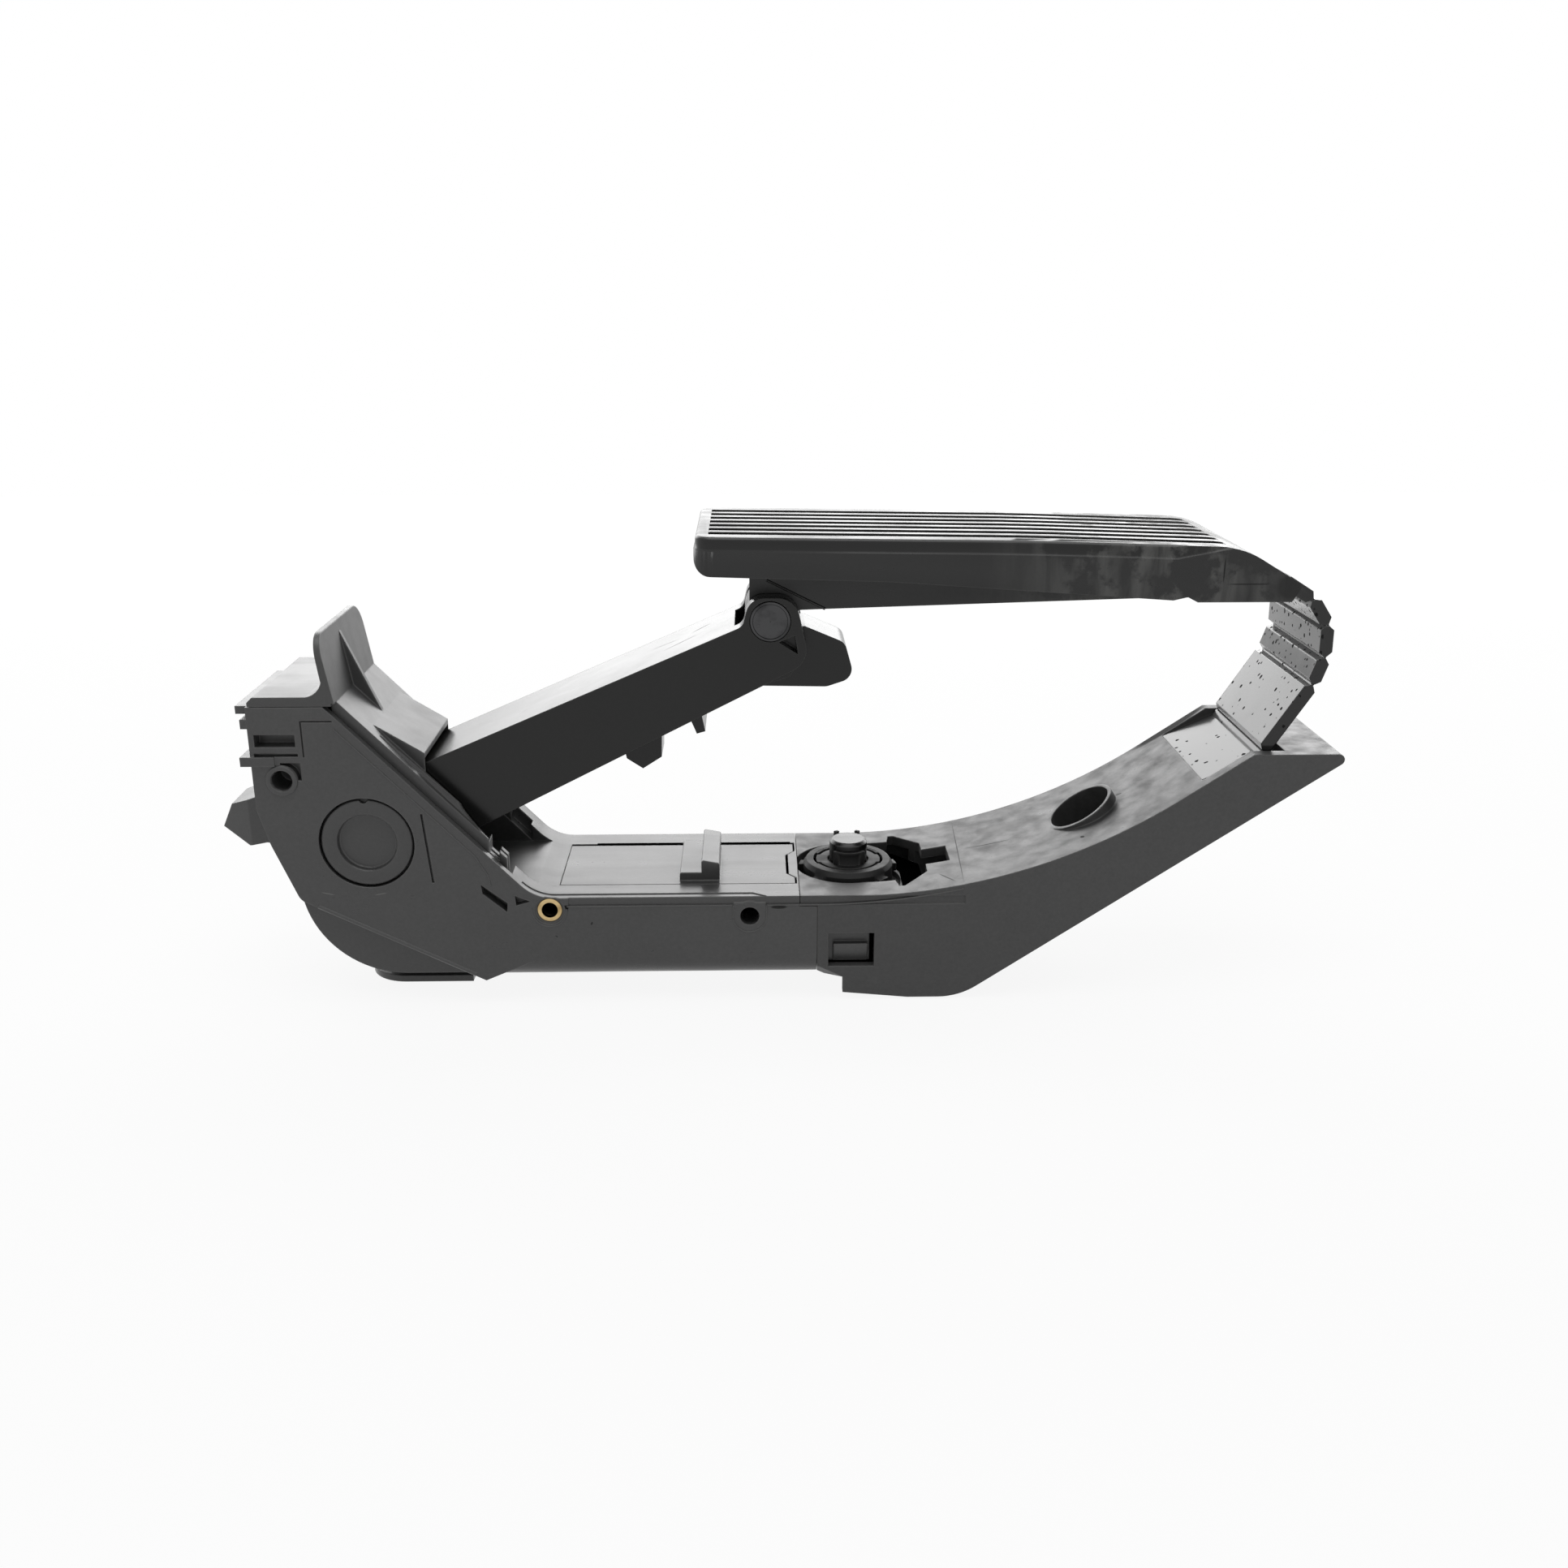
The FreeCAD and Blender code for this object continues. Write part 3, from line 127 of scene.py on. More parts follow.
def fresh(name: str) -> tuple[bpy.types.Material, bpy.types.NodeTree]:
    """Makes an empty node material.

    Args:
        name: Name of the material.

    Returns:
        The material and its tree.
    """
    made = bpy.data.materials.new(name)
    made.use_nodes = True
    made.node_tree.nodes.clear()
    return made, made.node_tree


@dataclass(frozen=True)
class Specks:
    """Crumbs stuck to a surface.

    Attributes:
        spacing_mm: Size of the cells in which a crumb may lie.
        size_mm: Radius of the largest crumb.
        share: Share of the cells that hold one.
        colour: Colour of the crumbs.
        crowd: Heights between which the share grows, and the share that it grows to.
        hollow: Axis (x, z) and radius of the hollow side that holds them, and the height under
            which they lie on every side.
    """

    spacing_mm: float
    size_mm: float
    share: float
    colour: str = "0B0B0B"
    crowd: tuple[float, float, float] = (0.0, 1000.0, 0.0)
    hollow: tuple[float, float, float, float] = (0.0, 0.0, 0.0, 1000.0)


@dataclass(frozen=True)
class Mark:
    """Small nick, scratch, stain, patch of painted shade or painted highlight at one place.

    Attributes:
        place: Its middle in millimetres.
        half: Half its size along each axis.
        turn_deg: How it is turned about each axis.
        colour: Colour inside it.
        strength: How much of the skin it hides.
    """

    place: tuple[float, float, float]
    half: tuple[float, float, float]
    turn_deg: tuple[float, float, float] = (0.0, 0.0, 0.0)
    colour: str = "0A0A0A"
    strength: float = 1.0


@dataclass(frozen=True)
class Residue:
    """Pale wiped smear along a stretch of a piece.

    Attributes:
        start_mm: X where it begins.
        full_mm: X where it is strongest.
        end_mm: X where it ends.
        strength: How much it lightens the plastic.
    """

    start_mm: float
    full_mm: float
    end_mm: float
    strength: float


@dataclass(frozen=True)
class MouldedPlastic:
    """Black injection-moulded plastic.

    A satin skin: soft grey reflections that break up in clouds and flow marks, a fine
    spark-eroded grain and edges lightened by a painted highlight.

    Attributes:
        name: Name of the finish.
        colour: Base colour.
        pale: Colour of the cloudy parts.
        roughness: Mean roughness.
        cloud: Change of roughness in the clouds.
        streak: Change of roughness along the flow marks.
        grain_mm: Size of the grain, drawn as coarse as the render can show.
        grain_um: Height of the grain.
        edge_mm: Rounding of the moulded edges.
        edge_glint: Painted highlight that lightens the colour along the edges.
        cloud_mm: Size of the clouds.
        specks: Crumbs on the surface.
        residue: Wiped smear on the surface.
        marks: Nicks, scratches, stains, painted shade and painted highlights.
        ior: Refractive index of its skin.
        glaze: Extra gloss at a grazing angle.
    """

    name: str
    colour: str
    pale: str
    roughness: float
    cloud: float = 0.10
    streak: float = 0.06
    grain_mm: float = 0.8
    grain_um: float = 14.0
    edge_mm: float = 0.6
    edge_glint: float = 0.25
    cloud_mm: float = 26.0
    specks: Optional[Specks] = None
    residue: Optional[Residue] = None
    marks: tuple[Mark, ...] = ()
    ior: float = 1.5
    glaze: float = 0.0

    def material(self) -> bpy.types.Material:
        """Builds the node material.

        Returns:
            The finished material.
        """
        made, tree = fresh(self.name)
        place = add(tree, "ShaderNodeTexCoord").outputs["Object"]
        cloud = add(tree, "ShaderNodeTexNoise", {"Vector": place, "Scale": per_metre(self.cloud_mm),
                                                 "Detail": 6.0, "Roughness": 0.62})
        run = add(tree, "ShaderNodeMapping", {"Vector": place, "Scale": (0.09, 1.0, 1.0)})
        flow = add(tree, "ShaderNodeTexNoise", {"Vector": run.outputs["Vector"], "Scale": per_metre(3.5),
                                                "Detail": 3.0})
        grain = add(tree, "ShaderNodeTexNoise", {"Vector": place, "Scale": per_metre(self.grain_mm),
                                                 "Detail": 2.0})
        rounded = add(tree, "ShaderNodeBevel", {"Radius": self.edge_mm * MM}, samples=6)
        flat = add(tree, "ShaderNodeNewGeometry")
        alike = add(tree, "ShaderNodeVectorMath", {0: rounded.outputs["Normal"], 1: flat.outputs["Normal"]},
                    operation="DOT_PRODUCT")
        # Painted highlight: the colour is lightened towards a pale grey along the rounded edges.
        edge = add(tree, "ShaderNodeMapRange", {"Value": alike.outputs["Value"], "From Min": 0.995,
                                                "From Max": 0.80, "To Max": self.edge_glint})
        tone = add(tree, "ShaderNodeMix", {0: 0.45, 2: cloud.outputs["Fac"], 3: grain.outputs["Fac"]},
                   data_type="FLOAT")
        body = add(tree, "ShaderNodeMix", {0: tone.outputs[0], 6: linear(self.colour),
                                           7: linear(self.pale)}, data_type="RGBA")
        colour = add(tree, "ShaderNodeMix", {0: edge.outputs["Result"], 6: body.outputs[2],
                                             7: linear(EDGE_GLINT)}, data_type="RGBA").outputs[2]
        clouded = add(tree, "ShaderNodeMapRange", {"Value": cloud.outputs["Fac"], "From Min": 0.3,
                                                   "From Max": 0.7, "To Min": self.roughness - self.cloud,
                                                   "To Max": self.roughness + self.cloud})
        streaked = add(tree, "ShaderNodeMapRange", {"Value": flow.outputs["Fac"], "From Min": 0.3,
                                                    "From Max": 0.7, "To Min": -self.streak,
                                                    "To Max": self.streak})
        rough = add(tree, "ShaderNodeMath", {0: clouded.outputs["Result"], 1: streaked.outputs["Result"]},
                    operation="ADD").outputs["Value"]
        # Painted shade: faces marked with the band attribute are painted near black, standing for the dark
        # reflection on the pad's rounded rim.
        shade = add(tree, "ShaderNodeAttribute", attribute_name=BAND)
        colour = add(tree, "ShaderNodeMix", {0: shade.outputs["Fac"], 6: colour, 7: linear(BAND_SHADE)},
                     data_type="RGBA").outputs[2]
        if self.residue is not None:
            colour, rough = self.smear(tree, place, cloud.outputs["Fac"], colour, rough)
        colour, rough = self.marked(tree, place, colour, rough)
        if self.specks is not None:
            colour, rough = self.crumbs(tree, place, colour, rough)
        skin = add(tree, "ShaderNodeMath", {0: flow.outputs["Fac"], 1: 0.5, 2: grain.outputs["Fac"]},
                   operation="MULTIPLY_ADD")
        bump = add(tree, "ShaderNodeBump", {"Height": skin.outputs["Value"], "Strength": 0.5,
                                            "Distance": self.grain_um * 1e-6,
                                            "Normal": rounded.outputs["Normal"]})
        shader = add(tree, "ShaderNodeBsdfPrincipled", {"Base Color": colour, "Roughness": rough,
                                                        "IOR": self.ior, "Normal": bump.outputs["Normal"]})
        if self.glaze:
            self.glazed(tree, shader, colour)
        add(tree, "ShaderNodeOutputMaterial", {"Surface": shader.outputs["BSDF"]})
        return made

    def glazed(self, tree: bpy.types.NodeTree, shader: bpy.types.Node, colour: Socket) -> None:
        """Adds the gloss of a waxy skin, which mirrors at a grazing angle where no crumb lies.

        Args:
            tree: Tree of the material.
            shader: Shader of the skin.
            colour: Colour of the skin.
        """
        slant = add(tree, "ShaderNodeLayerWeight", {"Blend": 0.5}).outputs["Facing"]
        steep = add(tree, "ShaderNodeMath", {0: slant, 1: GLAZE_POWER}, operation="POWER").outputs["Value"]
        rising = add(tree, "ShaderNodeMath", {0: steep, 1: self.glaze}, operation="MULTIPLY").outputs["Value"]
        share = add(tree, "ShaderNodeMath", {0: rising, 1: GLAZE_LIMIT}, operation="MINIMUM").outputs["Value"]
        spot = add(tree, "ShaderNodeSeparateColor", {"Color": colour}).outputs["Red"]
        clean = add(tree, "ShaderNodeMath", {0: spot, 1: linear(CRUMB_LIMIT)[0]}, operation="GREATER_THAN")
        kept = add(tree, "ShaderNodeMath", {0: share, 1: clean.outputs["Value"]}, operation="MULTIPLY")
        mirror = add(tree, "ShaderNodeMix", {0: kept.outputs["Value"], 6: colour, 7: linear(MIRROR)},
                     data_type="RGBA")
        tree.links.new(kept.outputs["Value"], shader.inputs["Metallic"])
        tree.links.new(mirror.outputs[2], shader.inputs["Base Color"])

    def crumbs(self, tree: bpy.types.NodeTree, place: Socket, colour: Socket,
               rough: Socket) -> tuple[Socket, Socket]:
        """Scatters dark crumbs over the skin.

        Args:
            tree: Tree of the material.
            place: Object coordinates.
            colour: Colour under the crumbs.
            rough: Roughness under the crumbs.

        Returns:
            Colour and roughness with the crumbs.
        """
        ragged = add(tree, "ShaderNodeTexNoise", {"Vector": place, "Scale": per_metre(0.7), "Detail": 2.0})
        torn = add(tree, "ShaderNodeVectorMath", {0: ragged.outputs["Color"], 1: (0.6 * MM,) * 3, 2: place},
                   operation="MULTIPLY_ADD")
        cells = add(tree, "ShaderNodeTexVoronoi", {"Vector": torn.outputs["Vector"], "Randomness": 1.0,
                                                   "Scale": per_metre(self.specks.spacing_mm)})
        lot = add(tree, "ShaderNodeSeparateColor", {"Color": cells.outputs["Color"]})
        height = add(tree, "ShaderNodeSeparateXYZ", {"Vector": place}).outputs["Z"]
        low, high, most = self.specks.crowd
        least = add(tree, "ShaderNodeMapRange", {
            "Value": height, "From Min": low * MM, "From Max": high * MM, "To Min": 1.0 - self.specks.share,
            "To Max": 1.0 - max(most, self.specks.share)})
        held = add(tree, "ShaderNodeMath", {0: lot.outputs["Red"], 1: least.outputs["Result"]},
                   operation="GREATER_THAN")
        size = self.specks.size_mm / self.specks.spacing_mm
        reach = add(tree, "ShaderNodeMapRange", {"Value": lot.outputs["Green"], "To Min": 0.3 * size,
                                                 "To Max": size})
        near = add(tree, "ShaderNodeMath", {0: cells.outputs["Distance"], 1: reach.outputs["Result"]},
                   operation="LESS_THAN")
        x, z, radius, floor = self.specks.hollow
        arm = add(tree, "ShaderNodeVectorMath", {0: place, 1: (x * MM, 0.0, z * MM)}, operation="SUBTRACT")
        flat = add(tree, "ShaderNodeVectorMath", {0: arm.outputs["Vector"], 1: (1.0, 0.0, 1.0)},
                   operation="MULTIPLY")
        away = add(tree, "ShaderNodeVectorMath", {0: flat.outputs["Vector"]}, operation="LENGTH")
        within = add(tree, "ShaderNodeMath", {0: away.outputs["Value"], 1: radius * MM},
                     operation="LESS_THAN")
        under = add(tree, "ShaderNodeMath", {0: height, 1: floor * MM}, operation="LESS_THAN")
        open_side = add(tree, "ShaderNodeMath", {0: within.outputs["Value"], 1: under.outputs["Value"]},
                        operation="MAXIMUM")
        lying = add(tree, "ShaderNodeMath", {0: held.outputs["Value"], 1: near.outputs["Value"]},
                    operation="MULTIPLY")
        inside = add(tree, "ShaderNodeMath", {0: lying.outputs["Value"], 1: open_side.outputs["Value"]},
                     operation="MULTIPLY").outputs["Value"]
        crumb = add(tree, "ShaderNodeMix", {0: inside, 6: colour, 7: linear(self.specks.colour)},
                    data_type="RGBA")
        dull = add(tree, "ShaderNodeMix", {0: inside, 2: rough, 3: 0.95}, data_type="FLOAT")
        return crumb.outputs[2], dull.outputs[0]

    def marked(self, tree: bpy.types.NodeTree, place: Socket, colour: Socket,
               rough: Socket) -> tuple[Socket, Socket]:
        """Lays the nicks, scratches, stains, painted shade and painted highlights over the skin.

        Args:
            tree: Tree of the material.
            place: Object coordinates.
            colour: Colour under the marks.
            rough: Roughness under the marks.

        Returns:
            Colour and roughness with the marks.
        """
        for mark in self.marks:
            local = add(tree, "ShaderNodeMapping", {
                "Vector": place, "Location": [c * MM for c in mark.place],
                "Rotation": [math.radians(t) for t in mark.turn_deg],
                "Scale": [h * MM for h in mark.half]}, vector_type="TEXTURE")
            away = add(tree, "ShaderNodeVectorMath", {0: local.outputs["Vector"]}, operation="LENGTH")
            inside = add(tree, "ShaderNodeMapRange", {"Value": away.outputs["Value"], "From Min": 1.0,
                                                      "From Max": 0.7, "To Max": mark.strength})
            colour = add(tree, "ShaderNodeMix", {0: inside.outputs["Result"], 6: colour,
                                                 7: linear(mark.colour)}, data_type="RGBA").outputs[2]
            rough = add(tree, "ShaderNodeMix", {0: inside.outputs["Result"], 2: rough, 3: 0.8},
                        data_type="FLOAT").outputs[0]
        return colour, rough

    def smear(self, tree: bpy.types.NodeTree, place: Socket, cloud: Socket, colour: Socket,
              rough: Socket) -> tuple[Socket, Socket]:
        """Lays a wiped smear with runs over a stretch of the skin.

        Args:
            tree: Tree of the material.
            place: Object coordinates.
            cloud: Cloud pattern.
            colour: Colour under the smear.
            rough: Roughness under the smear.

        Returns:
            Colour and roughness with the smear.
        """
        along = add(tree, "ShaderNodeSeparateXYZ", {"Vector": place}).outputs["X"]
        rise = add(tree, "ShaderNodeMapRange", {"Value": along, "From Min": self.residue.start_mm * MM,
                                                "From Max": self.residue.full_mm * MM})
        fall = add(tree, "ShaderNodeMapRange", {"Value": along, "From Min": self.residue.end_mm * MM,
                                                "From Max": self.residue.full_mm * MM})
        run = add(tree, "ShaderNodeMapping", {"Vector": place, "Scale": (1.0, 1.0, 0.22)})
        runs = add(tree, "ShaderNodeTexNoise", {"Vector": run.outputs["Vector"], "Scale": per_metre(5.0),
                                                "Detail": 4.0, "Distortion": 0.6})
        patch = add(tree, "ShaderNodeMapRange", {"Value": cloud, "From Min": 0.43, "From Max": 0.47})
        drips = add(tree, "ShaderNodeMapRange", {"Value": runs.outputs["Fac"], "From Min": 0.36,
                                                 "From Max": 0.60})
        there = add(tree, "ShaderNodeMath", {0: rise.outputs["Result"], 1: fall.outputs["Result"]},
                    operation="MULTIPLY")
        torn = add(tree, "ShaderNodeMath", {0: there.outputs["Value"], 1: patch.outputs["Result"]},
                   operation="MULTIPLY")
        wiped = add(tree, "ShaderNodeMath", {0: torn.outputs["Value"], 1: drips.outputs["Result"]},
                    operation="MULTIPLY")
        share = add(tree, "ShaderNodeMath", {0: wiped.outputs["Value"], 1: self.residue.strength},
                    operation="MULTIPLY", use_clamp=True).outputs["Value"]
        pale = add(tree, "ShaderNodeMix", {0: share, 6: colour, 7: linear(WIPED)}, data_type="RGBA")
        dull = add(tree, "ShaderNodeMix", {0: share, 2: rough, 3: 0.75}, data_type="FLOAT")
        return pale.outputs[2], dull.outputs[0]


@dataclass(frozen=True)
class TurnedMetal:
    """Metal with the fine rings of a lathe or the die marks of drawn wire.

    Bright, with its highlights drawn out along the marks and small dull stains.

    Attributes:
        name: Name of the finish.
        colour: Colour of the metal.
        stain: Colour of its dull stains.
        roughness: Mean roughness.
        mark_mm: Spacing of the tool marks, drawn as coarse as the render can show.
        centre: Point on the turning axis in millimetres.
        axis: Wave direction of the rings.
        bore_mm: Radius of a bore whose inside is painted dark as painted shade.
    """

    name: str
    colour: str
    stain: str
    roughness: float
    mark_mm: float = 0.3
    centre: tuple[float, float, float] = (0.0, 0.0, 0.0)
    axis: str = "Y"
    bore_mm: float = 0.0

    def material(self) -> bpy.types.Material:
        """Builds the node material.

        Returns:
            The finished material.
        """
        made, tree = fresh(self.name)
        place = add(tree, "ShaderNodeTexCoord").outputs["Object"]
        moved = add(tree, "ShaderNodeMapping", {"Vector": place,
                                                "Location": tuple(-c * MM for c in self.centre)})
        rings = add(tree, "ShaderNodeTexWave", {"Vector": moved.outputs["Vector"],
                                                "Scale": per_metre(self.mark_mm) / 6.28, "Distortion": 0.6,
                                                "Detail": 2.0}, wave_type="RINGS", rings_direction=self.axis)
        blot = add(tree, "ShaderNodeTexNoise", {"Vector": place, "Scale": per_metre(4.0), "Detail": 5.0})
        dull = add(tree, "ShaderNodeMapRange", {"Value": blot.outputs["Fac"], "From Min": 0.45,
                                                "From Max": 0.75})
        skin = add(tree, "ShaderNodeMix", {0: dull.outputs["Result"], 6: linear(self.colour),
                                           7: linear(self.stain)}, data_type="RGBA")
        flat = add(tree, "ShaderNodeVectorMath", {0: moved.outputs["Vector"], 1: (1.0, 0.0, 1.0)},
                   operation="MULTIPLY")
        away = add(tree, "ShaderNodeVectorMath", {0: flat.outputs["Vector"]}, operation="LENGTH")
        # Painted shade: the colour darkens to near black inside the bore's radius.
        deep = add(tree, "ShaderNodeMapRange", {"Value": away.outputs["Value"],
                                                "From Min": (self.bore_mm + 0.16) * MM,
                                                "From Max": (self.bore_mm + 0.02) * MM})
        colour = add(tree, "ShaderNodeMix", {0: deep.outputs["Result"], 6: skin.outputs[2],
                                             7: linear(BORE_SHADE)}, data_type="RGBA")
        rough = add(tree, "ShaderNodeMapRange", {"Value": blot.outputs["Fac"],
                                                 "To Min": self.roughness - 0.08,
                                                 "To Max": self.roughness + 0.15})
        bump = add(tree, "ShaderNodeBump", {"Height": rings.outputs["Fac"], "Strength": 0.3,
                                            "Distance": 4e-6})
        shader = add(tree, "ShaderNodeBsdfPrincipled", {
            "Base Color": colour.outputs[2], "Roughness": rough.outputs["Result"], "Metallic": 1.0,
            "Normal": bump.outputs["Normal"]})
        add(tree, "ShaderNodeOutputMaterial", {"Surface": shader.outputs["BSDF"]})
        return made


@dataclass(frozen=True)
class PressedBody:
    """Pressed or laminated electrical material with a speckle of its own grains.

    Dull and even, with grains or a weave that show only close up.

    Attributes:
        name: Name of the finish.
        colour: Main colour.
        fleck: Colour of the grains or weave.
        roughness: Mean roughness.
        fleck_mm: Size of the grains.
    """

    name: str
    colour: str
    fleck: str
    roughness: float
    fleck_mm: float

    def material(self) -> bpy.types.Material:
        """Builds the node material.

        Returns:
            The finished material.
        """
        made, tree = fresh(self.name)
        place = add(tree, "ShaderNodeTexCoord").outputs["Object"]
        cells = add(tree, "ShaderNodeTexVoronoi", {"Vector": place, "Scale": per_metre(self.fleck_mm)})
        share = add(tree, "ShaderNodeMapRange", {"Value": cells.outputs["Distance"], "From Min": 0.1,
                                                 "From Max": 0.6, "To Max": 0.6})
        colour = add(tree, "ShaderNodeMix", {0: share.outputs["Result"], 6: linear(self.colour),
                                             7: linear(self.fleck)}, data_type="RGBA")
        rough = add(tree, "ShaderNodeMapRange", {"Value": cells.outputs["Distance"],
                                                 "To Min": self.roughness - 0.1,
                                                 "To Max": self.roughness + 0.15})
        bump = add(tree, "ShaderNodeBump", {"Height": cells.outputs["Distance"], "Strength": 0.2,
                                            "Distance": 1e-5})
        shader = add(tree, "ShaderNodeBsdfPrincipled", {"Base Color": colour.outputs[2], "IOR": 1.52,
                                                        "Roughness": rough.outputs["Result"],
                                                        "Normal": bump.outputs["Normal"]})
        add(tree, "ShaderNodeOutputMaterial", {"Surface": shader.outputs["BSDF"]})
        return made


@dataclass(frozen=True)
class ShadeSheet:
    """Near-black matt sheet of painted shade, laid where a gap or hollow lies in shade.

    Its darker cells keep the painted black from reading flat.

    Attributes:
        name: Name of the finish.
        colour: Main colour of the painted shade.
        dark_cell: Colour of its darker cells.
        cell_mm: Size of its darker cells.
    """

    name: str
    colour: str
    dark_cell: str
    cell_mm: float

    def material(self) -> bpy.types.Material:
        """Builds the node material.

        Returns:
            The finished material.
        """
        made, tree = fresh(self.name)
        place = add(tree, "ShaderNodeTexCoord").outputs["Object"]
        cells = add(tree, "ShaderNodeTexVoronoi", {"Vector": place, "Scale": per_metre(self.cell_mm)})
        colour = add(tree, "ShaderNodeMix", {0: cells.outputs["Distance"], 6: linear(self.dark_cell),
                                             7: linear(self.colour)}, data_type="RGBA")
        shader = add(tree, "ShaderNodeBsdfPrincipled", {"Base Color": colour.outputs[2], "Roughness": 1.0,
                                                        "Specular IOR Level": 0.0})
        add(tree, "ShaderNodeOutputMaterial", {"Surface": shader.outputs["BSDF"]})
        return made


PIVOT = (-103.4, 44.9)
PIN = (-0.103, 100.055)
INSERT = (-57.8, 25.8)
SWITCH_X = 21.2
SHADE_SHEET = "liner"

Finish = Union[MouldedPlastic, TurnedMetal, PressedBody, ShadeSheet]

# The first mark is a black dash painted as the shade of a slot under the ledge, and the last two are pale arcs
# painted as highlights of thin beads under the pivot cap; the two between are nicks.
BASE_MARKS_AND_PAINTED_LIGHT = (Mark((1.8, -23.5, 26.3), (2.4, 1.2, 0.55)),
              Mark((-47.0, -23.5, 22.1), (0.3, 0.6, 0.55), (0.0, 25.0, 0.0), "141414", 0.9),
              Mark((-56.3, -23.5, 18.5), (0.45, 0.6, 0.22), (0.0, 35.0, 0.0), "141414", 0.8),
              Mark((-114.5, -23.5, 31.1), (1.9, 0.6, 0.16), (0.0, 13.0, 0.0), "7A7A78", 0.8),
              Mark((-101.0, -23.5, 30.9), (1.7, 0.6, 0.16), (0.0, -10.0, 0.0), "7A7A78", 0.8))
# The last ramp mark is painted shade: it blackens the far inner wall of the strap anchor's recess.
RAMP_MARKS_AND_PAINTED_SHADE = (Mark((51.3, 0.0, 32.4), (0.16, 24.0, 3.0), (0.0, 0.0, -3.0), "202020", 0.55),
              Mark((59.4, -0.2, 34.4), (7.0, 0.22, 4.5), (0.0, 0.0, -8.5), "1A1A1A", 0.8),
              Mark((81.8, -15.8, 42.3), (0.55, 0.9, 1.0), (0.0, 0.0, 20.0), "101010", 0.9),
              Mark((94.5, -0.3, 48.7), (1.0, 0.3, 1.5), (0.0, 0.0, -20.0), "1A1A1A", 0.8),
              Mark((46.4, -16.8, 31.5), (0.25, 4.2, 1.5), (0.0, 0.0, 28.0), "1E1E1E", 0.6),
              Mark((64.0, 8.9, 35.6), (8.5, 3.6, 4.0), (0.0, 0.0, -8.0), "8A8A88", 0.22),
              Mark((73.0, 7.0, 38.6), (5.5, 2.4, 4.0), (0.0, 0.0, 10.0), "8A8A88", 0.16),
              Mark((113.5, 22.4, 60.5), (13.0, 2.6, 2.2), (0.0, -34.0, 0.0), "080808", 0.95))
ARM_MARKS = (Mark((-23.0, -2.0, 91.0), (5.5, 0.3, 5.0), (0.0, 0.0, 14.0), "2A2A2A", 0.5),
             Mark((-27.0, 3.5, 89.0), (4.5, 0.25, 5.0), (0.0, 0.0, -9.0), "2A2A2A", 0.4),
             Mark((-18.0, 5.0, 93.5), (3.0, 0.35, 4.0), (0.0, 0.0, 22.0), "2A2A2A", 0.5),
             Mark((-64.0, -4.0, 71.0), (2.6, 0.3, 4.0), (0.0, 0.0, 30.0), "2A2A2A", 0.4))
PAD_MARKS = (Mark((109.7, -25.5, 114.7), (0.22, 1.0, 3.6), colour="080808", strength=0.9),
             Mark((116.2, -25.5, 111.2), (6.2, 1.0, 0.22), colour="080808", strength=0.8),
             Mark((126.5, -25.0, 110.5), (4.5, 2.0, 4.0), colour="080808", strength=0.6))

